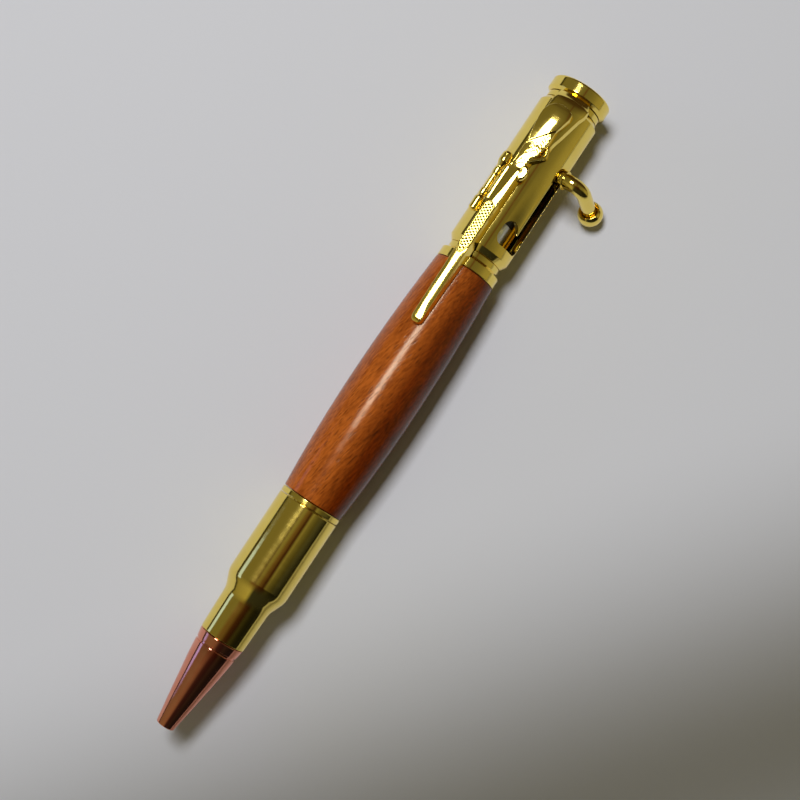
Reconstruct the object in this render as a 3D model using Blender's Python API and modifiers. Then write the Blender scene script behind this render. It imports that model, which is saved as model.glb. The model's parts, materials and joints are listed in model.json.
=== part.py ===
"""A bolt action ballpoint pen shaped like a rifle cartridge, with a rifle for a clip.

The pen axis is the X axis of the empty named pen, with the nib end at 0 and the cap end at
overall_length. Angles about that axis are counted from the clip towards the bolt slot.
The pen lies as it does on a desk, on its belly, its rim and the knob of its bolt.
"""

import math

import bmesh
import bpy
from mathutils import Matrix, Vector

mm = 0.001

# Fits between pieces
seam = 0.12 * mm                # axial gap where two pieces butt
press_gap = 0.06 * mm           # radial gap of a pressed or screwed joint
running_gap = 0.1 * mm          # radial gap of a sliding joint
overrun = 1.5 * mm              # how far a cutter stands out of what it cuts

# The cartridge's body, which the other radii follow
barrel_radius = 6.0 * mm
edge_break = 0.14 * mm

# Front shell, the neck and shoulder of the cartridge
front_length = 27.7 * mm
neck_length = 7.2 * mm
neck_taper = 0.2 * mm
neck_wall = 0.82 * mm
shoulder_length = 4.6 * mm
shoulder_rise = 1.36 * mm       # from the neck to the body
shoulder_fall = 0.03 * mm       # how much lower the shoulder ends than the body
front_thread_length = 6.4 * mm

# Nose, the copper bullet
nose_length = 18.3 * mm
nose_tip_radius = 1.75 * mm
nose_middle_share = 0.6         # the place of the cone's bend along it
nose_middle_rise_share = 0.643  # and how far up it lies
nose_swell = 0.06 * mm          # how far the cone stands out of straight lines
nose_ring_step = 0.04 * mm      # from the neck down to the nose's ring
nose_ring_rise = 0.3 * mm       # from the cone up to the ring
nose_ring_width = 1.75 * mm
nose_groove_width = 0.4 * mm
nose_groove_depth = 0.22 * mm
nose_bore_radius = 1.3 * mm
nose_bore_length = 4.0 * mm
nose_spigot_length = 6.2 * mm
nose_spigot_wall = 0.57 * mm
nose_wall = 0.35 * mm           # the cone's wall where the refill's chamber is widest
nose_lip_radius = 0.3 * mm
nose_lip_inner_share = 0.3
spring_chamber_radius = 1.97 * mm

# Bush pressed in the front of the tube, with its ring
ring_width = 1.05 * mm
front_spigot_length = 5.0 * mm
bush_depth = 9.0 * mm
passage_gap = 0.35 * mm         # round the refill, where it only passes through

# Wood barrel and the brass tube glued in it
wood_length = 49.85 * mm
wood_step = 0.04 * mm           # from the gold down to the ends of the wood
wood_swell = 0.98 * mm          # from the ends of the wood up to its belly
wood_wall = 1.34 * mm
belly_share = 0.47              # the fullest place along the wood
tube_wall = 0.32 * mm
tube_inset = 0.4 * mm

# Collar pressed in the rear of the tube
collar_length = 3.52 * mm
flange_width = 1.85 * mm
groove_depth = 0.8 * mm
groove_slope = 0.55 * mm
groove_wall = 1.15 * mm
collar_spigot_length = 2.85 * mm
housing_seam = 0.04 * mm        # the fine joint on the groove's floor

# Housing of the bolt
housing_length = 31.81 * mm
housing_slope = 1.18 * mm
housing_chamfer = 0.85 * mm
housing_chamfer_drop = 0.58 * mm
housing_wall = 1.15 * mm
slot_lead = 3.16 * mm           # from the housing's nib end to the slot
slot_setback = 10.25 * mm       # from the slot to the housing's cap end
slot_width = 3.2 * mm
slot_angle = math.radians(81)
pocket_angle = math.radians(46)
pocket_length = 4.9 * mm

# Bolt, its handle and its knob
stem_radius = 1.45 * mm
bolt_front = 1.6 * mm           # how far the piston reaches past the stem, towards the nib
bolt_back = 5.6 * mm
pusher_length = 9.48 * mm
pusher_step = 0.75 * mm         # from the refill's edge in to the rod that pushes it
stem_hold = 2.35 * mm           # how deep the stem is screwed into the piston
stem_ring_radius = 1.76 * mm
stem_ring_height = 0.75 * mm
stem_ring_gap = 0.28 * mm
leg_clearance = 4.46 * mm       # from the housing to the leg's centreline
elbow_radius = 2.7 * mm
leg_length = 9.2 * mm           # from the stem's centreline to the knob's centre
leg_radius = 1.36 * mm
handle_twist = math.radians(6)
knob_radius = 2.4 * mm
knob_face_height = 1.45 * mm
knob_recess_radius = 1.75 * mm
knob_recess_depth = 0.35 * mm
knob_socket_depth = 2.3 * mm

# Cap end
rim_length = 2.81 * mm
rim_step = 0.02 * mm            # from the housing down to the rim
rim_slope = 0.55 * mm
rim_rounding = 0.45 * mm
cap_spigot_length = 5.2 * mm
end_bush_length = 4.0 * mm
end_bush_wall = 1.75 * mm
end_bush_recess = 0.3 * mm
primer_radius = 2.6 * mm
primer_depth = 1.1 * mm
primer_drop = 0.12 * mm

# Clip, a rifle lying along the pen
clip_ring_width = 1.1 * mm
clip_ring_step = 0.06 * mm      # from the housing's chamfered end down to the clip's ring
clip_ring_play = 0.17 * mm
clip_ring_gap = 0.2 * mm
clip_reach = 50.16 * mm          # from the muzzle to the back of the ring
clip_lift = 0.3 * mm            # between the clip and what it lies over
clip_height = 2.0 * mm
stock_width = 6.0 * mm
clip_edge = 0.34 * mm
scope_offset = 2.85 * mm
scope_drop = 0.8 * mm           # from the top of the rifle down to its telescope's centre
scope_length = 12.3 * mm
scope_start_share = 0.45        # its front, as a share of the clip's reach from the muzzle
scope_radius = 0.95 * mm
mount_width = 0.9 * mm
mount_height = 0.8 * mm
magazine_length = 3.3 * mm
magazine_share = 0.653          # its middle, as a share of the clip's reach
magazine_offset = 1.35 * mm
magazine_width = 2.7 * mm
magazine_height = 1.9 * mm
magazine_sink_share = 0.62
receiver_side_share = 0.22
guard_width = 0.56 * mm
guard_reach = 3.5 * mm
corner_share = 0.3              # how round the clip's upper edges are

# Refill and its spring
point_reach = 3.9 * mm          # how far the point comes out of the nose
refill_wall = 0.3 * mm
refill_front_length = 15.0 * mm
nozzle_straight = 9.2 * mm
nozzle_step = 0.95 * mm         # from the refill's edge in to the nozzle's shoulder
nozzle_bore_radius = 0.75 * mm
nozzle_plug_length = 3.0 * mm
point_length = 2.6 * mm
point_step = 0.1 * mm           # from the nozzle in to the point's foot
point_shank_length = 1.6 * mm
point_shank_radius = 0.7 * mm
point_lip_width = 0.02 * mm     # round the ball's widest place
ball_radius = 0.35 * mm
ball_gap = 0.05 * mm
ball_out_share = 0.55           # how far the ball stands out of its cup
cup_lip_share = 0.82
cup_corner_share = 0.74
ink_channel_radius = 0.2 * mm
plug_head_length = 1.3 * mm
plug_depth = 3.2 * mm
spring_wire_radius = 0.16 * mm
spring_front_gap = 0.17 * mm    # round its front turn
spring_rear_inset = 0.2 * mm    # from the refill's edge in to its rear turn
spring_turns = 11
spring_seat_gap = 0.05 * mm

# Facets
round_sides = 36
small_sides = 24
ball_sides = 16
bar_resolution = 6
wire_resolution = 1
curl_points = 10
shoulder_steps = 6
wood_steps = 10
turn_steps = 6
slot_end_steps = 8
crown_steps = 6
foot_steps = 3
elbow_steps = 8
knob_steps = 9
arc_step = math.radians(50)
sharp_angle = math.radians(32)

# Vertices nearer than this are one
merge_distance = 0.001 * mm

# Radii that follow from the fits
neck_end_radius = barrel_radius - shoulder_rise
neck_radius = neck_end_radius - neck_taper
nose_ring_radius = neck_radius - nose_ring_step
nose_shoulder_radius = nose_ring_radius - nose_ring_rise
nose_middle_radius = nose_tip_radius + (nose_shoulder_radius - nose_tip_radius) * nose_middle_rise_share
nose_spigot_radius = neck_radius - neck_wall
refill_radius = nose_spigot_radius - nose_spigot_wall - running_gap
passage_radius = refill_radius + passage_gap
nozzle_radius = nose_bore_radius - running_gap
spring_front_radius = spring_chamber_radius - spring_front_gap - spring_wire_radius
spring_rear_radius = refill_radius - spring_rear_inset
wood_end_radius = barrel_radius - wood_step
belly_radius = wood_end_radius + wood_swell
tube_radius = wood_end_radius - wood_wall
thread_radius = tube_radius - tube_wall
groove_radius = barrel_radius - groove_depth
collar_spigot_radius = groove_radius - groove_wall
housing_bore_radius = barrel_radius - housing_wall
housing_end_radius = barrel_radius - housing_chamfer_drop
cap_spigot_radius = housing_bore_radius - end_bush_wall
piston_radius = housing_bore_radius - running_gap
stem_depth = piston_radius - stem_hold
clip_ring_radius = housing_end_radius - clip_ring_step
clip_floor_radius = barrel_radius + clip_lift
rim_radius = barrel_radius - rim_step
leg_offset = barrel_radius + leg_clearance
clip_crown_radius = clip_floor_radius + clip_height

# Stations along the pen axis, from the nib end
front_start = nose_length + seam
ring_start = front_start + front_length + seam
wood_start = ring_start + ring_width + seam
wood_end = wood_start + wood_length
collar_start = wood_end + seam
housing_start = collar_start + collar_length + housing_seam
housing_end = housing_start + housing_length
clip_ring_start = housing_end + clip_ring_play
clip_ring_end = clip_ring_start + clip_ring_width
rim_start = clip_ring_end + clip_ring_play
overall_length = rim_start + rim_length
belly_station = wood_start + wood_length * belly_share
muzzle_station = clip_ring_end - clip_reach
bolt_stroke = housing_length - slot_lead - slot_setback - slot_width
slot_near_end = housing_start + slot_lead
slot_far_end = housing_end - slot_setback
stem_station = slot_far_end - slot_width / 2
refill_setback = bolt_stroke - point_reach
refill_end = stem_station - bolt_front - pusher_length - seam
plug_station = refill_end - plug_head_length
nozzle_end = refill_setback + refill_front_length
clip_pivot_station = (clip_ring_start + clip_ring_end) / 2

# Sections of the rifle, muzzle first. Each row holds the share of the clip's reach, then the left and
# right edges of the top and the left and right edges of the foot as shares of the stock's width,
# then the top's height as a share of the clip's, the place of its ridge as a share of its width, and
# how far its edges fall below the ridge as a share of the clip's height. Left is the side of the telescope.
rifle_shares = [
    (0.000, -0.067, 0.043, -0.073, 0.067, 0.680, 0.50, 0.025),
    (0.003, -0.117, 0.087, -0.129, 0.120, 0.810, 0.50, 0.040),
    (0.010, -0.160, 0.127, -0.171, 0.161, 0.930, 0.50, 0.055),
    (0.021, -0.187, 0.147, -0.194, 0.181, 1.000, 0.50, 0.060),
    (0.093, -0.194, 0.140, -0.198, 0.184, 1.010, 0.50, 0.060),
    (0.234, -0.207, 0.137, -0.210, 0.201, 1.010, 0.50, 0.060),
    (0.290, -0.214, 0.140, -0.218, 0.208, 1.010, 0.50, 0.050),
    (0.314, -0.223, 0.147, -0.227, 0.211, 1.030, 0.50, 0.030),
    (0.411, -0.231, 0.157, -0.235, 0.213, 1.030, 0.50, 0.030),
    (0.499, -0.238, 0.164, -0.242, 0.222, 1.020, 0.50, 0.030),
    (0.511, -0.279, 0.167, -0.283, 0.228, 1.000, 0.55, 0.060),
    (0.591, -0.289, 0.175, -0.294, 0.246, 1.000, 0.72, 0.080),
    (0.645, -0.289, 0.184, -0.294, 0.256, 1.000, 0.80, 0.080),
    (0.665, -0.234, 0.191, -0.246, 0.263, 0.970, 0.70, 0.060),
    (0.699, -0.211, 0.204, -0.222, 0.280, 0.950, 0.60, 0.050),
    (0.719, -0.207, 0.272, -0.222, 0.339, 0.940, 0.50, 0.060),
    (0.736, -0.207, 0.354, -0.225, 0.403, 0.940, 0.45, 0.090),
    (0.768, -0.194, 0.361, -0.228, 0.428, 0.950, 0.42, 0.100),
    (0.784, -0.218, 0.361, -0.252, 0.450, 0.980, 0.42, 0.100),
    (0.832, -0.268, 0.388, -0.301, 0.552, 1.030, 0.42, 0.110),
    (0.882, -0.316, 0.529, -0.343, 0.680, 1.020, 0.42, 0.150),
    (0.904, -0.265, 0.588, -0.287, 0.731, 0.990, 0.42, 0.160),
    (0.920, -0.194, 0.603, -0.211, 0.718, 0.930, 0.42, 0.150),
    (0.930, -0.093, 0.523, -0.107, 0.599, 0.860, 0.45, 0.110),
    (0.937, 0.033, 0.354, 0.027, 0.375, 0.780, 0.50, 0.050),
]

# Sections of the root, the lower leaf that joins the rifle's butt to the clip's ring.
root_shares = [
    (0.792, -0.201, 0.373, -0.218, 0.439, 0.400, 0.45, 0.100),
    (0.882, -0.338, 0.593, -0.360, 0.676, 0.530, 0.45, 0.180),
    (0.928, -0.351, 0.709, -0.375, 0.807, 0.530, 0.45, 0.210),
    (0.952, -0.352, 0.776, -0.375, 0.889, 0.470, 0.45, 0.220),
    (0.972, -0.349, 0.802, -0.371, 0.920, 0.340, 0.45, 0.180),
    (0.984, -0.339, 0.803, -0.350, 0.908, 0.150, 0.45, 0.130),
    (0.998, -0.325, 0.770, -0.336, 0.848, -0.070, 0.45, 0.080),
]

# Outline of the telescope: the share of its length, and the share of its largest radius.
scope_shares = [
    (0.000, 0.00), (0.000, 0.62), (0.025, 0.90), (0.200, 0.93), (0.235, 0.70), (0.255, 0.60),
    (0.275, 0.78), (0.350, 0.78), (0.370, 0.58), (0.610, 0.58), (0.630, 0.80), (0.715, 0.80),
    (0.735, 0.60), (0.760, 0.62), (0.830, 1.00), (0.960, 1.00), (1.000, 0.80), (1.000, 0.00),
]
scope_mount_shares = [0.312, 0.672]

# Centreline of the trigger guard: shares of the clip's reach, the guard's reach and the clip's height.
guard_shares = [
    (0.690, 0.28, 0.74), (0.695, 0.42, 0.74), (0.714, 0.72, 0.66), (0.731, 0.93, 0.56), (0.740, 1.00, 0.50),
    (0.750, 0.98, 0.52), (0.763, 0.82, 0.60), (0.780, 0.62, 0.64),
]


def clear_scene():
    for obj in list(bpy.data.objects):
        bpy.data.objects.remove(obj, do_unlink=True)


def make_collection(name):
    collection = bpy.data.collections.new(name)
    bpy.context.scene.collection.children.link(collection)
    return collection


def finish(name, colour, metallic, roughness):
    """A Principled material of one colour."""
    material = bpy.data.materials.new(name)
    material.use_nodes = True
    shader = material.node_tree.nodes["Principled BSDF"]
    shader.inputs["Base Color"].default_value = (*colour, 1)
    shader.inputs["Metallic"].default_value = metallic
    shader.inputs["Roughness"].default_value = roughness
    material.diffuse_color = (*colour, 1)
    return material


def soften(points):
    """The outline with each corner that has a third value rounded to that radius."""
    rounded = []
    for index, point in enumerate(points):
        radius = point[2] if len(point) > 2 else 0
        corner = Vector(point[:2])
        if not radius:
            rounded.append(corner)
            continue
        before = (Vector(points[index - 1][:2]) - corner).normalized()
        after = (Vector(points[(index + 1) % len(points)][:2]) - corner).normalized()
        half = before.angle(after) / 2
        turn = math.pi - 2 * half
        start = corner + before * (radius / math.tan(half))
        centre = corner + (before + after).normalized() * (radius / math.sin(half))
        way = math.copysign(1, before.x * after.y - before.y * after.x)
        steps = math.ceil(turn / arc_step)
        spoke = start - centre
        for step in range(steps + 1):
            angle = way * -turn * step / steps
            rounded.append(centre + Vector((
                spoke.x * math.cos(angle) - spoke.y * math.sin(angle),
                spoke.x * math.sin(angle) + spoke.y * math.cos(angle),
            )))
    return rounded


def add_object(name, mesh, material, parent, station=0, collection=None):
    """Links a mesh as a piece, with its origin on the pen axis at a station."""
    obj = bpy.data.objects.new(name, mesh)
    (collection or parts).objects.link(obj)
    obj.parent = parent
    obj.location = (station, 0, 0)
    mesh.shade_smooth()
    if material:
        mesh.materials.append(material)
    return obj


def turned(name, outline, material, parent, station=0, sides=round_sides, collection=None):
    """A solid turned about the X axis. Its outline is (along, radius) from the nib end along the
    outside, then back through the bore if it has one."""
    points = soften(outline)
    closed = outline[0][1] > 0
    mesh = bpy.data.meshes.new(name)
    rows = [(point.x, point.y, 0) for point in reversed(points)]
    edges = [(i, i + 1) for i in range(len(rows) - 1)]
    if closed:
        edges.append((len(rows) - 1, 0))
    mesh.from_pydata(rows, edges, [])
    obj = add_object(name, mesh, material, parent, station, collection)
    screw = obj.modifiers.new("turn", "SCREW")
    screw.axis = "X"
    screw.steps = sides
    screw.render_steps = sides
    screw.use_smooth_shade = True
    screw.use_merge_vertices = True
    screw.merge_threshold = merge_distance
    return obj


def make_cutter(obj):
    obj.hide_render = True
    obj.display_type = "WIRE"
    return obj


def crisp(obj):
    """Shades the faces on either side of a sharp edge apart."""
    split = obj.modifiers.new("crisp edges", "EDGE_SPLIT")
    split.split_angle = sharp_angle


def boolean(obj, other, operation):
    modifier = obj.modifiers.new(f"{operation.lower()} {other.name}", "BOOLEAN")
    modifier.operation = operation
    modifier.solver = "EXACT"
    modifier.object = other


def mesh_from_curve(curve_object):
    """A mesh of a curve object, welded at its caps. The curve is removed."""
    graph = bpy.context.evaluated_depsgraph_get()
    mesh = bpy.data.meshes.new_from_object(curve_object.evaluated_get(graph))
    work = bmesh.new()
    work.from_mesh(mesh)
    bmesh.ops.remove_doubles(work, verts=work.verts, dist=merge_distance)
    bmesh.ops.recalc_face_normals(work, faces=work.faces)
    work.to_mesh(mesh)
    work.free()
    bpy.data.objects.remove(curve_object, do_unlink=True)
    return mesh


def bar_mesh(points, radius, resolution):
    """A round bar along points, with flat ends."""
    data = bpy.data.curves.new("bar", "CURVE")
    data.dimensions = "3D"
    data.bevel_depth = radius
    data.bevel_resolution = resolution
    data.use_fill_caps = True
    spline = data.splines.new("POLY")
    spline.points.add(len(points) - 1)
    for target, point in zip(spline.points, points):
        target.co = (*point, 1)
    obj = bpy.data.objects.new("bar", data)
    parts.objects.link(obj)
    bpy.context.view_layer.update()
    return mesh_from_curve(obj)


def prism_mesh(outline, low, high):
    """A flat outline in the XY plane, raised from low to high along Z."""
    data = bpy.data.curves.new("prism", "CURVE")
    data.dimensions = "2D"
    data.fill_mode = "BOTH"
    data.extrude = (high - low) / 2
    spline = data.splines.new("POLY")
    spline.points.add(len(outline) - 1)
    spline.use_cyclic_u = True
    for target, point in zip(spline.points, outline):
        target.co = (point[0], point[1], 0, 1)
    obj = bpy.data.objects.new("prism", data)
    parts.objects.link(obj)
    bpy.context.view_layer.update()
    mesh = mesh_from_curve(obj)
    mesh.transform(Matrix.Translation((0, 0, (low + high) / 2)))
    return mesh


def stadium(start, end, half_width):
    """A slot's outline along X, with round ends whose centres are start and end."""
    outline = []
    for centre, first in ((end, -math.pi / 2), (start, math.pi / 2)):
        for step in range(slot_end_steps + 1):
            angle = first + math.pi * step / slot_end_steps
            outline.append((centre + half_width * math.cos(angle), half_width * math.sin(angle)))
    return outline


def make_nose():
    """The copper bullet: a slender ogive, a groove, and a ring where it meets the neck."""
    cone_end = nose_length - nose_ring_width - nose_groove_width
    middle = cone_end * nose_middle_share
    wide = refill_radius + running_gap
    risen = (wide + nose_wall - nose_middle_radius) / (nose_shoulder_radius - nose_middle_radius)
    wide_start = middle + (cone_end - middle) * risen
    outline = [
        (0, nose_bore_radius, nose_lip_radius * nose_lip_inner_share),
        (0, nose_tip_radius, nose_lip_radius),
        (middle / 2, (nose_tip_radius + nose_middle_radius) / 2 + nose_swell / 2),
        (middle, nose_middle_radius),
        ((middle + cone_end) / 2, (nose_middle_radius + nose_shoulder_radius) / 2 + nose_swell),
        (cone_end, nose_shoulder_radius),
        (cone_end, nose_shoulder_radius - nose_groove_depth),
        (cone_end + nose_groove_width, nose_shoulder_radius - nose_groove_depth),
        (cone_end + nose_groove_width, nose_shoulder_radius, edge_break / 2),
        (nose_length, nose_ring_radius, edge_break),
        (nose_length, nose_spigot_radius),
        (nose_length + nose_spigot_length, nose_spigot_radius),
        (nose_length + nose_spigot_length, wide),
        (wide_start, wide),
        (nose_bore_length, spring_chamber_radius),
        (nose_bore_length, nose_bore_radius),
    ]
    return turned("nose_cone", outline, copper, front_section)


def make_front_shell():
    """Neck, S shaped shoulder and body of the cartridge."""
    shoulder_start = neck_length
    shoulder_end = neck_length + shoulder_length
    outline = [
        (0, nose_spigot_radius + press_gap),
        (0, neck_radius, edge_break),
        (shoulder_start, neck_end_radius),
    ]
    for step in range(1, shoulder_steps + 1):
        share = step / shoulder_steps
        rise = (1 - math.cos(math.pi * share)) / 2
        outline.append((
            shoulder_start + (shoulder_end - shoulder_start) * share,
            neck_end_radius + (barrel_radius - shoulder_fall - neck_end_radius) * rise,
        ))
    outline += [
        (front_length, barrel_radius, edge_break),
        (front_length, thread_radius + press_gap),
        (front_length - front_thread_length, thread_radius + press_gap),
        (front_length - front_thread_length, passage_radius),
        (nose_spigot_length + seam, passage_radius),
        (nose_spigot_length + seam, nose_spigot_radius + press_gap),
    ]
    return turned("front_shell", outline, gold, front_section, front_start)


def make_front_bush():
    """A threaded bush pressed in the tube, with the thin ring that shows."""
    shank = tube_radius - tube_wall - press_gap
    spigot = thread_radius
    outline = [
        (-front_spigot_length, passage_radius),
        (-front_spigot_length, spigot),
        (0, spigot),
        (0, barrel_radius, edge_break),
        (ring_width, barrel_radius, edge_break),
        (ring_width, shank),
        (ring_width + bush_depth, shank),
        (ring_width + bush_depth, passage_radius),
    ]
    return turned("front_bush", outline, gold, pen, ring_start)


def make_tube():
    outline = [
        (0, tube_radius - tube_wall),
        (0, tube_radius),
        (wood_length - 2 * tube_inset, tube_radius),
        (wood_length - 2 * tube_inset, tube_radius - tube_wall),
    ]
    return turned("barrel_tube", outline, brass, pen, wood_start + tube_inset, small_sides)


def wood_arc(share):
    """The radius of the arc that the wood follows over a share of its length, up to its belly."""
    reach = wood_length * share
    rise = belly_radius - wood_end_radius
    return (reach * reach + rise * rise) / (2 * rise)


def wood_radius(station):
    """The wood's radius at a station. Two arcs meet at the belly."""
    away = station - belly_station
    arc = wood_arc(belly_share if away < 0 else 1 - belly_share)
    return belly_radius - arc + math.sqrt(arc * arc - away * away)


def make_wood():
    bore = tube_radius + press_gap
    outline = [(0, bore)]
    for step in range(wood_steps + 1):
        along = wood_length * step / wood_steps
        radius = wood_radius(wood_start + along)
        ends = step in (0, wood_steps)
        outline.append((along, radius, edge_break) if ends else (along, radius))
    outline.append((wood_length, bore))
    return turned("wood_barrel", outline, wood, pen, wood_start)


def make_collar():
    """A bush pressed in the rear of the tube, with a flange and the extractor groove's floor."""
    shank = tube_radius - tube_wall - press_gap
    outline = [
        (-bush_depth, passage_radius),
        (-bush_depth, shank),
        (0, shank),
        (0, wood_end_radius, edge_break),
        (flange_width, wood_end_radius, edge_break),
        (flange_width + groove_slope, groove_radius),
        (collar_length, groove_radius, edge_break),
        (collar_length, collar_spigot_radius),
        (collar_length + collar_spigot_length, collar_spigot_radius),
        (collar_length + collar_spigot_length, passage_radius),
    ]
    return turned("rear_collar", outline, gold, pen, collar_start)


def slot_cutter(name, angle, start, end):
    """A round ended slot through one wall, at an angle about the pen axis."""
    half = slot_width / 2
    outline = stadium(start + half - housing_start, end - half - housing_start, half)
    mesh = prism_mesh(outline, housing_bore_radius - overrun, barrel_radius + overrun)
    obj = add_object(name, mesh, None, pen, housing_start, cutters)
    obj.rotation_euler = (angle, 0, 0)
    return make_cutter(obj)


def turn_cutter():
    """The way between the slot and the pocket: a ring sector as wide as the slot."""
    inner = housing_bore_radius - overrun
    outer = barrel_radius + overrun
    outline = []
    for radius, order in ((outer, 1), (inner, -1)):
        for step in range(turn_steps + 1)[::order]:
            angle = pocket_angle + (slot_angle - pocket_angle) * step / turn_steps
            outline.append((-radius * math.sin(angle), radius * math.cos(angle)))
    mesh = prism_mesh(outline, 0, slot_width)
    # The sector is drawn across the pen, so its thickness is turned along X.
    mesh.transform(Matrix(((0, 0, 1, 0), (1, 0, 0, 0), (0, 1, 0, 0), (0, 0, 0, 1))))
    obj = add_object("cut_turn", mesh, None, pen, slot_near_end, cutters)
    return make_cutter(obj)


def make_housing():
    """The housing, with the slot that the bolt runs in and the pocket that it locks in."""
    outline = [
        (0, collar_spigot_radius + press_gap),
        (0, groove_radius, edge_break),
        (housing_slope, barrel_radius, edge_break),
        (housing_length - housing_chamfer, barrel_radius, edge_break),
        (housing_length, housing_end_radius, edge_break),
        (housing_length, housing_bore_radius),
        (collar_spigot_length + seam, housing_bore_radius),
        (collar_spigot_length + seam, collar_spigot_radius + press_gap),
    ]
    obj = turned("bolt_housing", outline, gold, pen, housing_start)
    boolean(obj, slot_cutter("cut_slot", slot_angle, slot_near_end, slot_far_end), "DIFFERENCE")
    pocket_end = slot_near_end + pocket_length
    boolean(obj, slot_cutter("cut_pocket", pocket_angle, slot_near_end, pocket_end), "DIFFERENCE")
    boolean(obj, turn_cutter(), "DIFFERENCE")
    return obj


def make_end_bush():
    outer = housing_bore_radius - press_gap
    inner = cap_spigot_radius + press_gap
    outline = [
        (-end_bush_length, inner),
        (-end_bush_length, outer),
        (0, outer),
        (0, inner),
    ]
    return turned("end_bush", outline, brass, pen, housing_end - end_bush_recess, small_sides)


def make_end_cap():
    """The cartridge's rim, on the screw that holds the clip's ring."""
    primer_seat = primer_radius + press_gap
    outline = [
        (-cap_spigot_length, 0),
        (-cap_spigot_length, cap_spigot_radius),
        (0, cap_spigot_radius),
        (0, clip_ring_radius, edge_break),
        (rim_slope, rim_radius, edge_break),
        (rim_length, rim_radius, rim_rounding),
        (rim_length, primer_seat, edge_break),
        (rim_length - primer_depth - seam, primer_seat),
        (rim_length - primer_depth - seam, 0),
    ]
    return turned("end_cap", outline, gold, pen, rim_start)


def make_primer():
    outline = [
        (-primer_depth, 0),
        (-primer_depth, primer_radius),
        (-primer_drop, primer_radius, edge_break),
        (-primer_drop, 0),
    ]
    return turned("primer_disc", outline, gold, pen, overall_length, small_sides)


def clip_floor(along):
    """The radius that the clip's underside keeps to, at a station along the pen."""
    if along > clip_ring_start:
        return clip_ring_radius - clip_edge
    if along > wood_end:
        return clip_floor_radius
    return max(clip_floor_radius, wood_radius(max(along, muzzle_station)) + clip_lift)


def rifle_section(shares):
    """The points of one section of the rifle. Its widths are laid round the pen axis."""
    along, left, right, left_foot, right_foot, rise, ridge, bow = shares
    station = muzzle_station + clip_reach * along
    top = clip_floor_radius + clip_height * rise
    fall = clip_height * bow
    floor = clip_floor(station)
    left, right, left_foot, right_foot = (stock_width * w for w in (left, right, left_foot, right_foot))
    edge = min(clip_edge, (right - left) / 4, (top - fall - floor) / 3)
    low = top - fall - edge
    far = max(ridge, 1 - ridge)

    def lean(width, radius):
        return (-radius * math.sin(width / radius), radius * math.cos(width / radius))

    points = [lean(left_foot, floor), lean(left, low)]
    points.append(lean(left + edge * corner_share, low + edge * (1 - corner_share)))
    for step in range(crown_steps + 1):
        share = step / crown_steps
        away = (share - ridge) / far
        points.append(lean((left + edge) * (1 - share) + (right - edge) * share, top - fall * away * away))
    points.append(lean(right - edge * corner_share, low + edge * (1 - corner_share)))
    points += [lean(right, low), lean(right_foot, floor)]
    for step in range(1, foot_steps):
        share = step / foot_steps
        points.append(lean(right_foot * (1 - share) + left_foot * share, floor))
    return [Vector((station - clip_pivot_station, y, z)) for y, z in points]


def loft_mesh(name, rows):
    """A loft through sections of the rifle."""
    work = bmesh.new()
    rings = [[work.verts.new(point) for point in rifle_section(row)] for row in rows]
    count = len(rings[0])
    for first, second in zip(rings, rings[1:]):
        for i in range(count):
            j = (i + 1) % count
            work.faces.new((first[i], first[j], second[j], second[i]))
    work.faces.new(rings[0])
    work.faces.new(rings[-1])
    bmesh.ops.recalc_face_normals(work, faces=work.faces)
    mesh = bpy.data.meshes.new(name)
    work.to_mesh(mesh)
    work.free()
    return mesh


def box_mesh(name, size, centre):
    work = bmesh.new()
    bmesh.ops.create_cube(work, size=1)
    bmesh.ops.scale(work, vec=size, verts=work.verts)
    bmesh.ops.translate(work, vec=centre, verts=work.verts)
    mesh = bpy.data.meshes.new(name)
    work.to_mesh(mesh)
    work.free()
    return mesh


def pebble_mesh(name, size, centre):
    """An ellipsoid of a given size."""
    work = bmesh.new()
    bmesh.ops.create_uvsphere(work, u_segments=ball_sides, v_segments=ball_sides // 2, radius=1)
    bmesh.ops.scale(work, vec=[length / 2 for length in size], verts=work.verts)
    bmesh.ops.translate(work, vec=centre, verts=work.verts)
    mesh = bpy.data.meshes.new(name)
    work.to_mesh(mesh)
    work.free()
    return mesh


def clip_helper(name, mesh):
    """A shape that is joined to the clip, kept as a hidden helper."""
    obj = add_object(name, mesh, None, clip_pivot, 0, cutters)
    return make_cutter(obj)


def clip_scope():
    """The telescope on its two mounts."""
    start = muzzle_station - clip_pivot_station + clip_reach * scope_start_share
    height = clip_crown_radius - scope_drop
    outline = [(scope_length * along, scope_radius * radius) for along, radius in scope_shares]
    scope = turned("add_scope", outline, None, clip_pivot, sides=ball_sides, collection=cutters)
    scope.location = (start, scope_offset, height)
    helpers = [make_cutter(scope)]
    receiver_side = stock_width * receiver_side_share
    for number, share in enumerate(scope_mount_shares):
        name = f"add_mount_{number + 1}"
        size = (mount_width, scope_offset - receiver_side, mount_height)
        centre = (start + scope_length * share, (scope_offset + receiver_side) / 2, height - mount_height / 4)
        helpers.append(clip_helper(name, box_mesh(name, size, centre)))
    return helpers


def clip_magazine():
    height = math.sqrt(clip_crown_radius ** 2 - magazine_offset ** 2) - magazine_height * magazine_sink_share
    size = (magazine_length, magazine_width, magazine_height)
    centre = (muzzle_station - clip_pivot_station + clip_reach * magazine_share, -magazine_offset, height)
    return clip_helper("add_magazine", pebble_mesh("add_magazine", size, centre))


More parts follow.
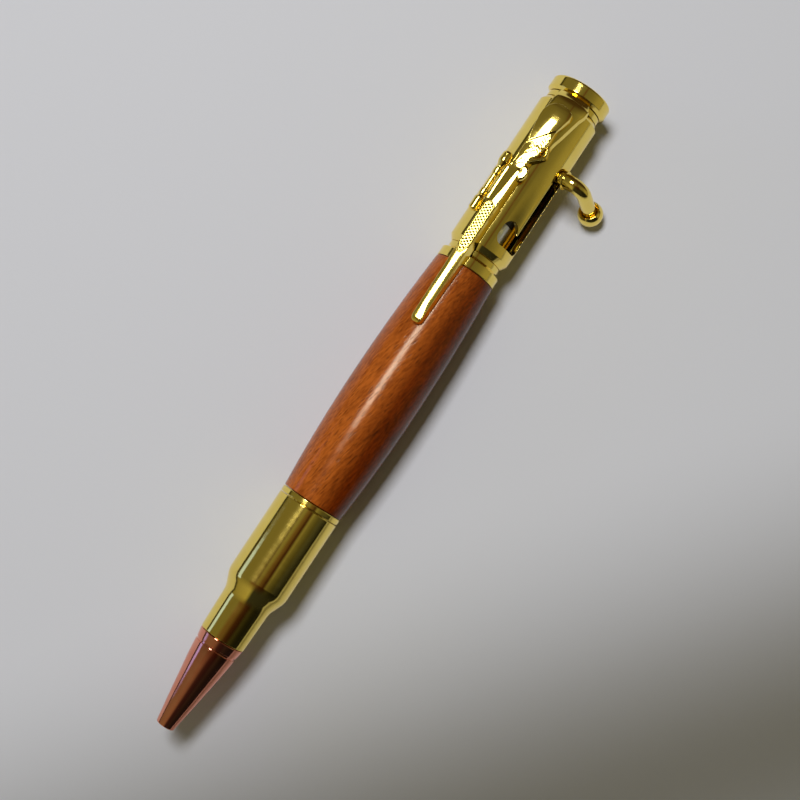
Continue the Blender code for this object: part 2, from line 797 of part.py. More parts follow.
def guard_mesh():
    """A strip on edge along the guard's centreline, from the clip's underside up."""
    start = muzzle_station - clip_pivot_station
    line = [Vector((start + clip_reach * along, guard_reach * reach)) for along, reach, _ in guard_shares]
    work = bmesh.new()
    rings = []
    for index, (_, _, rise) in enumerate(guard_shares):
        way = line[min(index + 1, len(line) - 1)] - line[max(index - 1, 0)]
        side = Vector((-way.y, way.x)).normalized() * guard_width / 2
        top = clip_floor_radius + clip_height * rise
        ring = []
        foot = clip_floor_radius
        for away, radius in ((side, foot), (side, top), (-side, top), (-side, foot)):
            place = line[index] + away
            angle = place.y / radius
            ring.append(work.verts.new((place.x, -radius * math.sin(angle), radius * math.cos(angle))))
        rings.append(ring)
    for first, second in zip(rings, rings[1:]):
        for i in range(len(first)):
            j = (i + 1) % len(first)
            work.faces.new((first[i], first[j], second[j], second[i]))
    work.faces.new(rings[0])
    work.faces.new(rings[-1])
    bmesh.ops.recalc_face_normals(work, faces=work.faces)
    mesh = bpy.data.meshes.new("add_guard")
    work.to_mesh(mesh)
    work.free()
    return mesh


def clip_ring():
    """The ring that is clamped under the cartridge's rim."""
    half = clip_ring_width / 2
    outline = [
        (-half, cap_spigot_radius + clip_ring_gap),
        (-half, clip_ring_radius, edge_break),
        (half, clip_ring_radius, edge_break),
        (half, cap_spigot_radius + clip_ring_gap),
    ]
    return make_cutter(turned("add_ring", outline, None, clip_pivot, collection=cutters))


def make_clip():
    """The rifle: barrel, forend, receiver and stock in one loft, joined to the leaf behind it, its
    telescope, magazine and trigger guard, and its ring."""
    obj = add_object("rifle_clip", loft_mesh("rifle_clip", rifle_shares), gold, clip_pivot)
    root = clip_helper("add_root", loft_mesh("add_root", root_shares))
    guard = clip_helper("add_guard", guard_mesh())
    for helper in [root, *clip_scope(), clip_magazine(), guard, clip_ring()]:
        boolean(obj, helper, "UNION")
    return obj


def make_bolt():
    """The piston that the handle screws into, with the rod that pushes the refill."""
    pusher_radius = refill_radius - pusher_step
    front = -bolt_front - pusher_length
    outline = [
        (front, 0),
        (front, pusher_radius, edge_break),
        (-bolt_front, pusher_radius),
        (-bolt_front, piston_radius, edge_break),
        (bolt_back, piston_radius, edge_break),
        (bolt_back, 0),
    ]
    obj = turned("bolt_piston", outline, steel, bolt_carriage, sides=small_sides)
    socket = stem_radius + press_gap
    drill_end = piston_radius + overrun
    drill_outline = [(0, 0), (0, socket), (drill_end, socket), (drill_end, 0)]
    drill = turned("cut_socket", drill_outline, None, bolt_carriage, sides=ball_sides, collection=cutters)
    # The drill is turned about X, so it is stood on the stem's own direction.
    drill.matrix_local = (
        Matrix.Rotation(slot_angle, 4, "X")
        @ Matrix.Translation((0, 0, stem_depth))
        @ Matrix.Rotation(-math.pi / 2, 4, "Y")
    )
    boolean(obj, make_cutter(drill), "DIFFERENCE")
    return obj


def handle_frame():
    """Local Z runs out along the stem, and local -Y along the leg."""
    return Matrix.Rotation(slot_angle, 4, "X") @ Matrix.Rotation(-handle_twist, 4, "Z")


def make_handle():
    """A bent bar: out of the slot, round an elbow and down to the knob."""
    points = [(0, 0, stem_depth + seam)]
    for step in range(elbow_steps + 1):
        angle = math.pi / 2 * step / elbow_steps
        points.append((
            0,
            -elbow_radius * (1 - math.cos(angle)),
            leg_offset - elbow_radius + elbow_radius * math.sin(angle),
        ))
    points.append((0, -(leg_length - knob_face_height + knob_socket_depth - seam), leg_offset))
    mesh = bar_mesh(points, stem_radius, bar_resolution)
    for vertex in mesh.vertices:
        past = min(1, max(0, (-vertex.co.y - elbow_radius) / elbow_radius))
        slim = 1 + (leg_radius / stem_radius - 1) * past
        if past:
            vertex.co.x *= slim
            vertex.co.z = leg_offset + (vertex.co.z - leg_offset) * slim
    obj = add_object("bolt_handle", mesh, gold, bolt_carriage)
    obj.matrix_local = handle_frame()
    low = barrel_radius + stem_ring_gap
    high = low + stem_ring_height
    outline = [
        (low, 0),
        (low, stem_ring_radius, edge_break),
        (high, stem_ring_radius, edge_break * 2),
        (high, 0),
    ]
    ring = turned("add_stem_ring", outline, None, bolt_carriage, sides=small_sides, collection=cutters)
    ring.matrix_local = handle_frame() @ Matrix.Rotation(-math.pi / 2, 4, "Y")
    boolean(obj, make_cutter(ring), "UNION")
    return obj


def make_knob():
    """A ball with a flat, dished face that the leg is pressed into."""
    socket = leg_radius + press_gap
    outline = [
        (knob_socket_depth - knob_face_height, 0),
        (knob_socket_depth - knob_face_height, socket),
        (knob_recess_depth - knob_face_height, socket),
        (-knob_face_height, knob_recess_radius),
    ]
    start = math.acos(knob_face_height / knob_radius)
    for step in range(knob_steps):
        angle = start + (math.pi - start) * step / knob_steps
        outline.append((-knob_radius * math.cos(angle), knob_radius * math.sin(angle)))
    outline.append((knob_radius, 0))
    obj = turned("bolt_knob", outline, gold, bolt_carriage, sides=small_sides)
    obj.matrix_local = (
        handle_frame()
        @ Matrix.Translation((0, -leg_length, leg_offset))
        @ Matrix.Rotation(-math.pi / 2, 4, "Z")
    )
    return obj


def make_refill():
    """A metal refill: tube, nozzle, point, ball and end plug."""
    inner = refill_radius - refill_wall
    tube_outline = [
        (0, inner),
        (0, refill_radius, edge_break),
        (plug_station - nozzle_end, refill_radius, edge_break),
        (plug_station - nozzle_end, inner),
    ]
    turned("refill_tube", tube_outline, steel, refill, nozzle_end, small_sides)

    nozzle_start = refill_setback + point_length
    back = nozzle_end - nozzle_start
    straight = nozzle_straight - point_length
    shank = point_shank_radius + press_gap
    nozzle_outline = [
        (0, shank),
        (0, nozzle_radius, edge_break),
        (straight, nozzle_radius),
        (back - seam, refill_radius - nozzle_step),
        (back - seam, refill_radius - refill_wall - press_gap),
        (back + nozzle_plug_length, refill_radius - refill_wall - press_gap),
        (back + nozzle_plug_length, nozzle_bore_radius),
        (point_shank_length + seam, nozzle_bore_radius),
        (point_shank_length + seam, shank),
    ]
    turned("refill_nozzle", nozzle_outline, brass, refill, nozzle_start, ball_sides)

    cup = ball_radius + ball_gap
    point_outline = [
        (ball_radius * ball_out_share, cup * cup_lip_share),
        (ball_radius * ball_out_share, ball_radius + point_lip_width),
        (point_length - seam, nozzle_radius - point_step),
        (point_length - seam, point_shank_radius),
        (point_length + point_shank_length, point_shank_radius),
        (point_length + point_shank_length, ink_channel_radius),
        (ball_radius + cup, ink_channel_radius),
        (ball_radius + cup * cup_corner_share, cup * cup_corner_share),
        (ball_radius, cup),
    ]
    turned("refill_point", point_outline, steel, refill, refill_setback, ball_sides)

    ball = bpy.data.meshes.new("refill_ball")
    work = bmesh.new()
    bmesh.ops.create_uvsphere(work, u_segments=ball_sides, v_segments=ball_sides // 2, radius=ball_radius)
    work.to_mesh(ball)
    work.free()
    add_object("refill_ball", ball, steel, refill, refill_setback + ball_radius)

    plug_outline = [
        (-plug_depth, 0),
        (-plug_depth, inner - press_gap),
        (seam / 2, inner - press_gap),
        (seam / 2, refill_radius - edge_break),
        (plug_head_length, refill_radius - edge_break, edge_break),
        (plug_head_length, 0),
    ]
    turned("refill_plug", plug_outline, plastic, refill, plug_station, ball_sides)


def make_spring():
    """A conical spring, from its seat in the nose to the refill's front edge."""
    start = nose_bore_length + spring_seat_gap + spring_wire_radius
    end = nozzle_end - spring_seat_gap - spring_wire_radius
    steps = spring_turns * curl_points
    points = []
    for step in range(steps + 1):
        share = step / steps
        angle = 2 * math.pi * step / curl_points
        radius = spring_front_radius + (spring_rear_radius - spring_front_radius) * share
        along = start + (end - start) * share
        points.append(Vector((along, radius * math.cos(angle), radius * math.sin(angle))))
    gap = min(
        (points[i] - points[j]).length - 2 * spring_wire_radius
        for i in range(steps + 1)
        for j in range(i + curl_points // 2, steps + 1)
    )
    print(f"spring: least gap between its turns {gap / mm:.2f} mm")
    mesh = bar_mesh(points, spring_wire_radius, wire_resolution)
    add_object("return_spring", mesh, steel, pen)


def rest_pose():
    """Roll and pitch of a pen that lies on its belly, its rim and its knob."""
    arc = wood_arc(1 - belly_share)
    centre_height = arc - belly_radius
    reach = overall_length - rim_rounding - belly_station
    drop = centre_height + rim_radius
    pitch = math.atan2(reach, drop) - math.acos(arc / math.hypot(reach, drop))
    knob = handle_frame() @ Vector((0, -leg_length, leg_offset))
    along = stem_station + knob.x - belly_station
    height = centre_height - (arc - knob_radius - along * math.sin(pitch)) / math.cos(pitch)
    knob_turn = math.atan2(-knob.y, knob.z)
    roll = math.acos(height / math.hypot(knob.y, knob.z)) - knob_turn
    return roll, pitch


def lay_down():
    """Turns the pen to its rest pose, with its lowest point at height 0 over the middle of its box."""
    roll, pitch = rest_pose()
    pen.matrix_world = Matrix.Rotation(pitch, 4, "Y") @ Matrix.Rotation(roll, 4, "X")
    bpy.context.view_layer.update()
    graph = bpy.context.evaluated_depsgraph_get()
    low = Vector((math.inf,) * 3)
    high = -low
    for obj in parts.objects:
        if obj.type != "MESH":
            continue
        evaluated = obj.evaluated_get(graph)
        for vertex in evaluated.to_mesh().vertices:
            place = evaluated.matrix_world @ vertex.co
            low = Vector(map(min, low, place))
            high = Vector(map(max, high, place))
        evaluated.to_mesh_clear()
    middle = (low + high) / 2
    pen.location = (-middle.x, -middle.y, -low.z)
    print(f"pen: roll {math.degrees(roll):.2f} and pitch {math.degrees(pitch):.2f} degrees")


def make_empty(name, parent, station=0):
    """A handle for pieces that move together, on the pen axis."""
    empty = bpy.data.objects.new(name, None)
    parts.objects.link(empty)
    empty.parent = parent
    empty.location = (station, 0, 0)
    return empty


clear_scene()
parts = make_collection("bolt_action_pen")
cutters = make_collection("pen_cutters")

gold = finish("polished gold plate", (0.83, 0.60, 0.20), 1, 0.12)
copper = finish("polished copper plate", (0.85, 0.42, 0.30), 1, 0.14)
brass = finish("plain brass", (0.72, 0.56, 0.27), 1, 0.3)
steel = finish("bright steel", (0.72, 0.72, 0.72), 1, 0.2)
wood = finish("red brown hardwood", (0.40, 0.13, 0.05), 0, 0.35)
plastic = finish("black plastic", (0.03, 0.03, 0.03), 0, 0.4)

pen = make_empty("pen", None)
front_section = make_empty("front_section", pen)
bolt_carriage = make_empty("bolt_carriage", pen, stem_station)
refill = make_empty("refill", pen)
clip_pivot = make_empty("clip_pivot", pen, clip_pivot_station)

make_nose()
make_front_shell()
make_front_bush()
make_tube()
make_wood()
make_collar()
make_housing()
make_end_bush()
make_end_cap()
make_primer()
make_clip()
make_bolt()
make_handle()
make_knob()
make_refill()
make_spring()
for piece in parts.objects:
    if piece.type == "MESH":
        crisp(piece)
lay_down()
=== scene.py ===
"""The looks of the bolt action pen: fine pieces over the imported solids, their finishes, light and camera.

Everything is in metres. Pieces of the pen are built in the pen's own frame, in which X runs along the
axis from the nib end to the cap end and Z points to the clip. The slot is on the side of -Y.
"""

import json
import math

import bmesh
import bpy
import numpy as np
from mathutils import Matrix, Vector

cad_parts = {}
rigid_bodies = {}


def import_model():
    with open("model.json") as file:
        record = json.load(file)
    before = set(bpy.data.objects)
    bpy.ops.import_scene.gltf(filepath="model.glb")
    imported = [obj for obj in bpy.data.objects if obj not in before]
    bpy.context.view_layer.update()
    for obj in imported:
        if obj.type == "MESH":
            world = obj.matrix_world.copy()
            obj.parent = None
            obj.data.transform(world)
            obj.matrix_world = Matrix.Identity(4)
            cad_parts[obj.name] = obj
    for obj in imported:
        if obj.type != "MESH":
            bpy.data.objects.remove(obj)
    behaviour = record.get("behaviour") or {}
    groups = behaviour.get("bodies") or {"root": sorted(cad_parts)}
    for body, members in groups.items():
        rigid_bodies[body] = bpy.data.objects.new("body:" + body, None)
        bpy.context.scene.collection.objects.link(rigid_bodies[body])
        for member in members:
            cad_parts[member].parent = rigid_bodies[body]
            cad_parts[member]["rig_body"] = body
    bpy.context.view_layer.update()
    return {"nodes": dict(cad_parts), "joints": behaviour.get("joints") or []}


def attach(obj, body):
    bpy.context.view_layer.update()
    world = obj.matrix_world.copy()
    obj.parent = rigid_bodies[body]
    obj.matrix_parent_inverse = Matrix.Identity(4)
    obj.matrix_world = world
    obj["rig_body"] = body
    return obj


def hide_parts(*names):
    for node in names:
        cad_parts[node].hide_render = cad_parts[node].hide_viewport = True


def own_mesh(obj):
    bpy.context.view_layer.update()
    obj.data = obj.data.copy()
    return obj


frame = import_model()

nodes = frame["nodes"]
joints = {joint["name"]: joint for joint in frame["joints"]}
mm = 0.001

# Turned pieces
fine_sides = 144
slim_sides = 72
slim_limit = 3.6 * mm           # pieces thinner than this get the fewer sides
edge_radius = 0.07 * mm
hold_width = 0.05 * mm          # a ring this far from an edge keeps the flat beside it flat
arc_chord = 0.6 * mm            # equal chords up to this length belong to a rounded edge
chord_match = 0.15              # the share by which equal chords may differ
fillet_share = 0.3              # the most of a side that a rounded corner may take
fillet_points = 5
curve_turn = math.radians(3)    # the most that a curved outline turns at one point
corner_turn = math.radians(28)  # an outline that turns more than this has a corner there
straight_turn = math.radians(0.3)   # a point that turns less than this is left out
skin_corner = 1.6 * corner_turn  # the same for the clip's lofts
bevel_angle = math.radians(50)  # edges that turn more than this are bevelled
cut_offset = math.radians(0.05)  # keeps the cutting plane off the mesh's own points
weld = 0.0001 * mm
least_gap = 0.001 * mm          # points of a finished mesh that are nearer than this are made one

# Housing's slot and pocket
stem_station = 120.9 * mm
stroke = 15.2 * mm
slot_width = 3.2 * mm
slot_angle = math.radians(81)
pocket_angle = math.radians(46)
pocket_length = 4.9 * mm
slot_steps = 24
slot_bevel = 0.14 * mm
cutter_inner = 3 * mm           # the slot's cutters reach from here, inside the wall,
cutter_outer = 8 * mm           # to here, outside it

# Bolt handle and knob
stem_radius = 1.45 * mm
stem_start = 2.52 * mm          # the stem's foot, from the pen axis
leg_radius = 1.36 * mm
leg_offset = 10.46 * mm
leg_length = 9.2 * mm
leg_end = 9.93 * mm
elbow_radius = 2.7 * mm
handle_twist = math.radians(6)
stem_ring_start = 6.28 * mm
stem_ring_height = 0.75 * mm
stem_ring_radius = 1.76 * mm
bar_step = 0.18 * mm            # the bar's rings of points are no further apart than this
hole_start = 2.4 * mm           # the stem's hole in the bolt, from the pen axis
hole_clearance = 1.02           # its radius, as a share of the stem's

# Return spring
spring_start = 4.21 * mm
spring_end = 26.09 * mm
spring_wire = 0.16 * mm
spring_front_radius = 1.64 * mm
spring_rear_radius = 2.75 * mm
spring_turns = 11
turn_points = 24
wire_sides = 10

# Rifle clip. Widths are laid round the pen axis and are positive towards the bolt's handle.
clip_floor_radius = 6.3 * mm
clip_lift = 0.3 * mm
wood_end = 97.26 * mm
belly_station = 70.84 * mm
belly_radius = 6.94 * mm
belly_rise = 0.98 * mm
clip_ring_start = 132.92 * mm
clip_ring_end = 134.02 * mm
clip_ring_radius = 5.36 * mm
clip_ring_bore = 3.3 * mm
clip_edge = 0.16 * mm
clip_step = 0.06 * mm
edge_steps = 6
top_steps = 56
wall_steps = 6
foot_steps = 8

# Sections of the rifle in mm: station, left and right edge of the top, left and right edge of the foot,
# and how far the top's left edge, middle and right edge are from the pen axis.
rifle_rows = [
    (83.86, -0.36, 0.22, -0.42, 0.38, 7.60, 7.62, 7.57),
    (83.92, -0.56, 0.40, -0.62, 0.56, 7.78, 7.78, 7.73),
    (84.05, -0.76, 0.58, -0.82, 0.76, 7.96, 7.95, 7.88),
    (84.35, -0.97, 0.77, -1.03, 0.96, 8.14, 8.10, 8.00),
    (84.90, -1.12, 0.88, -1.16, 1.08, 8.27, 8.18, 8.06),
    (88.50, -1.16, 0.84, -1.18, 1.10, 8.29, 8.18, 7.98),
    (95.60, -1.24, 0.82, -1.25, 1.20, 8.30, 8.19, 7.99),
    (98.20, -1.28, 0.84, -1.30, 1.24, 8.33, 8.20, 8.02),
    (99.60, -1.34, 0.88, -1.36, 1.26, 8.39, 8.21, 8.07),
    (104.50, -1.40, 0.94, -1.42, 1.27, 8.40, 8.21, 8.07),
    (108.90, -1.42, 0.98, -1.44, 1.32, 8.39, 8.20, 8.06),
    (109.50, -1.68, 1.00, -1.70, 1.28, 8.34, 8.25, 8.10),
    (113.50, -1.74, 1.05, -1.76, 1.34, 8.32, 8.28, 8.20),
    (116.30, -1.72, 1.10, -1.74, 1.38, 8.32, 8.30, 8.26),
    (117.10, -1.36, 1.13, -1.42, 1.42, 8.27, 8.17, 8.06),
    (118.90, -1.26, 1.20, -1.32, 1.48, 8.26, 8.15, 8.04),
    (119.90, -1.24, 1.62, -1.32, 1.90, 8.26, 8.19, 8.12),
    (120.80, -1.24, 2.14, -1.34, 2.36, 8.26, 8.18, 8.19),
    (121.70, -1.22, 2.30, -1.36, 2.50, 8.26, 8.16, 8.18),
    (122.10, -0.98, 2.34, -1.30, 2.52, 8.27, 8.14, 8.16),
    (122.50, -1.18, 2.38, -1.42, 2.56, 8.29, 8.13, 8.15),
    (123.60, -1.38, 2.50, -1.58, 2.68, 8.31, 8.13, 8.14),
    (125.60, -1.64, 2.52, -1.80, 2.72, 8.33, 8.19, 8.14),
    (127.40, -1.90, 2.94, -2.02, 3.14, 8.29, 8.25, 8.24),
    (128.30, -1.92, 3.18, -2.04, 3.36, 8.23, 8.23, 8.21),
    (129.20, -1.62, 3.36, -1.74, 3.54, 8.14, 8.16, 8.12),
    (130.00, -1.16, 3.30, -1.26, 3.46, 8.05, 8.06, 8.00),
    (130.50, -0.56, 2.70, -0.64, 2.86, 7.96, 7.97, 7.92),
    (130.76, 0.00, 2.00, -0.06, 2.12, 7.92, 7.93, 7.88),
    (130.86, 0.60, 1.50, 0.56, 1.58, 7.85, 7.86, 7.83),
]

# Sections of the leaf that joins the butt to the ring.
root_rows = [
    (118.60, -0.90, 0.90, -0.96, 1.04, 6.83, 6.90, 6.80),
    (119.20, -0.90, 1.40, -0.96, 1.54, 6.89, 6.96, 6.86),
    (120.00, -0.90, 2.10, -0.96, 2.24, 6.95, 7.02, 6.92),
    (120.90, -0.90, 2.80, -0.96, 2.94, 7.01, 7.08, 6.98),
    (122.20, -1.10, 2.86, -1.20, 3.00, 7.11, 7.20, 7.06),
    (123.60, -1.20, 2.88, -1.30, 3.06, 7.12, 7.24, 7.06),
    (126.00, -1.70, 3.46, -1.80, 3.64, 7.17, 7.34, 7.08),
    (128.10, -2.00, 3.96, -2.12, 4.14, 7.17, 7.40, 7.06),
    (130.40, -2.08, 4.52, -2.20, 4.72, 7.11, 7.38, 6.98),
    (131.60, -2.08, 4.96, -2.20, 5.16, 6.96, 7.24, 6.82),
    (132.60, -2.06, 5.00, -2.18, 5.16, 6.74, 6.98, 6.62),
    (133.20, -2.00, 4.80, -2.04, 4.90, 6.43, 6.60, 6.34),
    (133.92, -1.92, 4.40, -1.96, 4.46, 6.05, 6.16, 6.00),
]

# Chequered panel of the forend, in mm
panel_start = 98.7
panel_end = 109.2
panel_middle = -0.23
panel_half = 0.74
panel_point = 1.7
panel_taper = 0.7
chequer_length = 0.66
chequer_width = 0.92
chequer_slope = 0.18
chequer_land = 0.22              # the share between the cuts that stays level
cut_fade = (0.02, 0.14)         # the cuts start and are whole at these distances from the panel's edge
border_height = 0.05
border_width = 0.10

# Line between receiver and stock, engraving of the wrist and front edge of the butt, in mm. A fade is
# the length over which a form comes and goes.
crease = ((109.3, -0.50), (111.8, 0.08), (116.4, 0.58))
crease_fall = 0.16
crease_end_fade = 0.6
relief_fade = 0.1
left_rim = (109.6, 129.0)       # the rifle's left edge turns up between these stations
rim_widths = ((116.6, 0.44), (117.4, 0.20))
rim_slope = 0.26
rim_end_fade = 1
engraving_start = 117.4
engraving_end = 125.4
engraving_fade = 0.4
engraving_edge = ((117.4, -0.85), (122.0, 0.0), (126.0, 2.0))
engraving_edge_fade = (-0.1, 0.2)
engraving_length = 0.8
engraving_width = 0.5
engraving_height = 0.010
scroll_bend = 1.8
scroll_drift = 3.1
butt_front = ((122.0, -0.80), (126.2, 2.70))
butt_front_fade = (-0.02, 0.2)
butt_step = 0.17

# Telescope, magazine and trigger guard
scope_start = 106.43 * mm
scope_offset = 2.85 * mm
scope_height = 7.5 * mm
scope_outline = [
    (0.00, 0.00), (0.00, 0.59), (0.28, 0.86), (2.42, 0.88), (2.86, 0.67), (3.12, 0.57), (3.34, 0.74),
    (4.32, 0.74), (4.55, 0.55), (7.50, 0.55), (7.75, 0.76), (8.80, 0.76), (9.04, 0.57), (9.35, 0.59),
    (10.20, 0.95), (11.80, 0.95), (12.30, 0.76), (12.30, 0.00),
]
mount_stations = (110.27, 114.70)
mount_size = (0.9, 1.6, 0.9)
mount_rounding = 0.12 * mm
mount_inset = 0.75 * mm         # the mounts are this much nearer the middle than the telescope,
mount_drop = 0.25 * mm          # and this much lower
magazine_centre = (116.6, 1.32, 6.96)
magazine_outline = [(0.00, 1.62), (0.62, 1.62), (0.96, 1.42), (1.12, 1.05), (1.16, 0.00)]
magazine_foot = 0.6 * mm        # how far its foot is sunk
magazine_squash = 0.62          # its width across the pen, as a share of its length
magazine_tilt = math.radians(6)
guard_rows = [
    (118.50, 0.90, 7.78), (118.90, 1.10, 7.78), (119.50, 1.50, 7.72), (120.40, 2.42, 7.58),
    (120.90, 2.90, 7.48), (121.45, 3.12, 7.42), (122.00, 3.04, 7.42), (122.70, 2.78, 7.40),
    (123.40, 2.62, 7.30),
]
guard_width = 0.44
guard_rounding = 0.14
guard_steps = 90

# Finishes. A noise's scale is in turns to the metre, and a depth is a bump's, in metres. A stretch below
# 1 draws the noise out along the pen.
haze_scale = 260.0
polish_scale = 900.0            # lines round the pen
polish_stretch = (6.0, 0.35, 0.35)
polish_depth = 1.2e-6
polish_share = 0.4              # how much the lines add to the haze's roughness
tarnish_share = 0.5             # how much of the second colour the haziest patches have
wave_scale = 420.0
wave_depth = 12e-6
mirror = (0.05, 0.14)           # roughness of the clearest and the haziest patches
satin = (0.28, 0.40)
grain_slant = math.radians(15)
# painted shade: across the pen between these offsets, the wood's colour darkens towards the slot's side,
# which is the side away from the main light
painted_shade_span = (-4.8 * mm, -2.2 * mm)  # the wood is darker towards the slot's side
streak_scale, streak_stretch = 2600.0, 0.16
fleck_scale, fleck_stretch = 2700.0, 0.24
figure_scale, figure_stretch = 230.0, 0.3
pore_scale = 3400.0
pore_share = 0.5                # how much of their dark colour the pores take
wood_gloss = (0.14, 0.22)
wood_depth = 7e-6
plastic_scale = 2400.0
plastic_depth = 8e-6
paper_scale = 900.0
paper_depth = 10e-6

# Camera
camera_at = Vector((-9.943, -7.045, 262.668)) * mm
camera_heading = math.radians(-56.643)
camera_tilt = math.radians(3.4335)
camera_lens = 63.754
camera_sensor = 36.0
camera_range = (0.01, 10.0)

# Stage and room. Each stop of a sky is an angle across the pen in degrees, positive towards the slot's
# side, a brightness and a tone. The skies follow each other from beyond the nib to beyond the cap.
floor_size = 4.0
flag_edge = ((-21.8 * mm, 28.2 * mm), (35.3 * mm, -17.4 * mm))
flag_height = 130 * mm
flag_size = (0.5, 0.044)
room_tone = (1.0, 0.90, 0.46)
brown_tone = (1.0, 0.60, 0.30)
wood_tone = (1.0, 0.36, 0.18)
grey_tone = (1.0, 1.0, 0.9)
far_sky = (
    (-180, 0.03, room_tone), (-86, 0.04, room_tone), (-78, 0.26, room_tone), (-14, 0.36, room_tone),
    (-4, 0.20, room_tone), (4, 0.03, grey_tone), (90, 0.02, grey_tone), (180, 0.02, grey_tone),
)
neck_sky = (
    (-180, 0.03, room_tone), (-86, 0.03, room_tone), (-80, 0.15, room_tone), (-60, 0.165, room_tone),
    (-31, 0.16, room_tone), (-17, 0.13, brown_tone), (-3, 0.11, brown_tone), (11, 0.042, wood_tone),
    (26, 0.022, wood_tone), (40, 0.03, room_tone), (55, 0.013, room_tone), (70, 0.008, grey_tone),
    (84, 0.012, grey_tone), (180, 0.02, grey_tone),
)
nib_sky = (
    (-180, 0.03, room_tone), (-86, 0.03, room_tone), (-80, 0.15, room_tone), (-60, 0.165, room_tone),
    (-16, 0.16, room_tone), (-12, 0.12, room_tone), (-9, 0.08, brown_tone), (-6, 0.15, room_tone),
    (-2, 0.21, room_tone), (3, 0.18, room_tone), (9, 0.14, brown_tone), (15, 0.11, brown_tone),
    (20, 0.05, wood_tone), (24, 0.045, wood_tone), (28, 0.14, room_tone), (32, 0.22, room_tone),
    (38, 0.14, room_tone), (44, 0.11, room_tone), (54, 0.066, room_tone), (65, 0.055, grey_tone),
    (76, 0.03, grey_tone), (86, 0.01, grey_tone), (180, 0.02, grey_tone),
)
cap_sky = (
    (-180, 0.03, room_tone), (-86, 0.04, room_tone), (-79, 0.16, room_tone), (-2, 0.15, room_tone),
    (6, 0.13, room_tone), (10, 0.10, wood_tone), (14, 0.13, room_tone), (30, 0.15, room_tone),
    (50, 0.20, room_tone), (66, 0.28, room_tone), (84, 0.31, room_tone), (94, 0.31, room_tone),
    (100, 0.05, room_tone), (180, 0.03, room_tone),
)
end_sky = ((-180, 0.05, brown_tone), (180, 0.05, brown_tone))
# One sky turns into the next while the direction's part along the pen goes between these values.
sky_turns = ((-0.75, -0.25), (-0.125, -0.065), (-0.03, 0.12), (0.45, 0.75))


def pen_matrix():
    """The pen's own frame. Its axis and the clip's side are read from the joints."""
    along = -Vector(joints["bolt_slide"]["axis"]).normalized()
    side = Vector(joints["clip_flex"]["axis"]).normalized()
    up = along.cross(side)
    on_axis = Vector(joints["front_turn"]["pos_m"])
    nib_end = min((vertex.co - on_axis).dot(along) for vertex in nodes["nose_cone"].data.vertices)
    axes = Matrix((along, side, up)).transposed()
    return Matrix.Translation(on_axis + along * nib_end) @ axes.to_4x4()


pen = pen_matrix()


def linked(name, data, place):
    """A new object in the scene."""
    obj = bpy.data.objects.new(name, data)
    bpy.context.scene.collection.objects.link(obj)
    obj.matrix_world = place
    return obj


def finished(work, name):
    """A smooth mesh of what was built, with its faces turned outward."""
    bmesh.ops.recalc_face_normals(work, faces=work.faces)
    mesh = bpy.data.meshes.new(name)
    work.to_mesh(mesh)
    work.free()
    mesh.shade_smooth()
    return mesh


def turn_at(points, index):
    """How far a closed outline turns at a point."""
    before = points[index] - points[index - 1]
    after = points[(index + 1) % len(points)] - points[index]
    return before.angle(after, 0.0)


def halved(work, normal, clear):
    """Cuts a mesh at a plane through the origin, and returns the edges that lie in the plane."""
    whole = work.verts[:] + work.edges[:] + work.faces[:]
    cut = bmesh.ops.bisect_plane(
        work, geom=whole, dist=weld, plane_co=(0, 0, 0), plane_no=normal, clear_inner=clear
    )
    return {item for item in cut["geom_cut"] if isinstance(item, bmesh.types.BMEdge)}


def section(node, frame_of_piece, angle=0.0):
    """Where a half plane through the axis cuts a turned node: points (along, radius), and whether
    they close."""
    work = bmesh.new()
    work.from_mesh(nodes[node].data)
    work.transform(Matrix.Rotation(-angle - cut_offset, 4, "X") @ frame_of_piece.inverted())
    bmesh.ops.remove_doubles(work, verts=work.verts, dist=weld)
    halved(work, (0, 0, 1), True)
    edges = halved(work, (0, 1, 0), False)
    ends = [
        vert for edge in edges for vert in edge.verts
        if sum(link in edges for link in vert.link_edges) == 1
    ]
    here = min(ends, key=lambda vert: vert.co.x) if ends else next(iter(edges)).verts[0]
    points = [Vector((here.co.x, here.co.z))]
    while edges:
        step = next((edge for edge in here.link_edges if edge in edges), None)
        if step is None:
            break
        edges.remove(step)
        here = step.other_vert(here)
        points.append(Vector((here.co.x, here.co.z)))
    work.free()
    closed = not ends
    if closed:
        points.pop()
    else:
        points[0].y = points[-1].y = 0.0
    last = len(points) - 1
    kept = [
        point for index, point in enumerate(points)
        if (not closed and index in (0, last))
        or (point.y > weld and turn_at(points, index) > straight_turn)
    ]
    return kept, closed


def is_corner(points, index):
    """True at a real edge, and not where short equal chords round one."""
    before = (points[index] - points[index - 1]).length
    after = (points[(index + 1) % len(points)] - points[index]).length
    longest = max(before, after)
    rounds = longest < arc_chord and abs(before - after) < chord_match * longest
    return turn_at(points, index) > corner_turn and not rounds


def fillet(before, corner, after):
    """Points that round a corner."""
    back, on = before - corner, after - corner
    reach = min(edge_radius, fillet_share * back.length, fillet_share * on.length)
    start, end = corner + back.normalized() * reach, corner + on.normalized() * reach
    return [start.lerp(corner, t).lerp(corner.lerp(end, t), t) for t in np.linspace(0, 1, fillet_points)]


def tangent(points, index):
    """The direction of a smooth outline at a point. Beside a long straight it is the straight's."""
    before = points[index] - points[index - 1]
    after = points[(index + 1) % len(points)] - points[index]
    if before.length > 2 * after.length:
        return before.normalized()
    if after.length > 2 * before.length:
        return after.normalized()
    return (before.normalized() / before.length + after.normalized() / after.length).normalized()


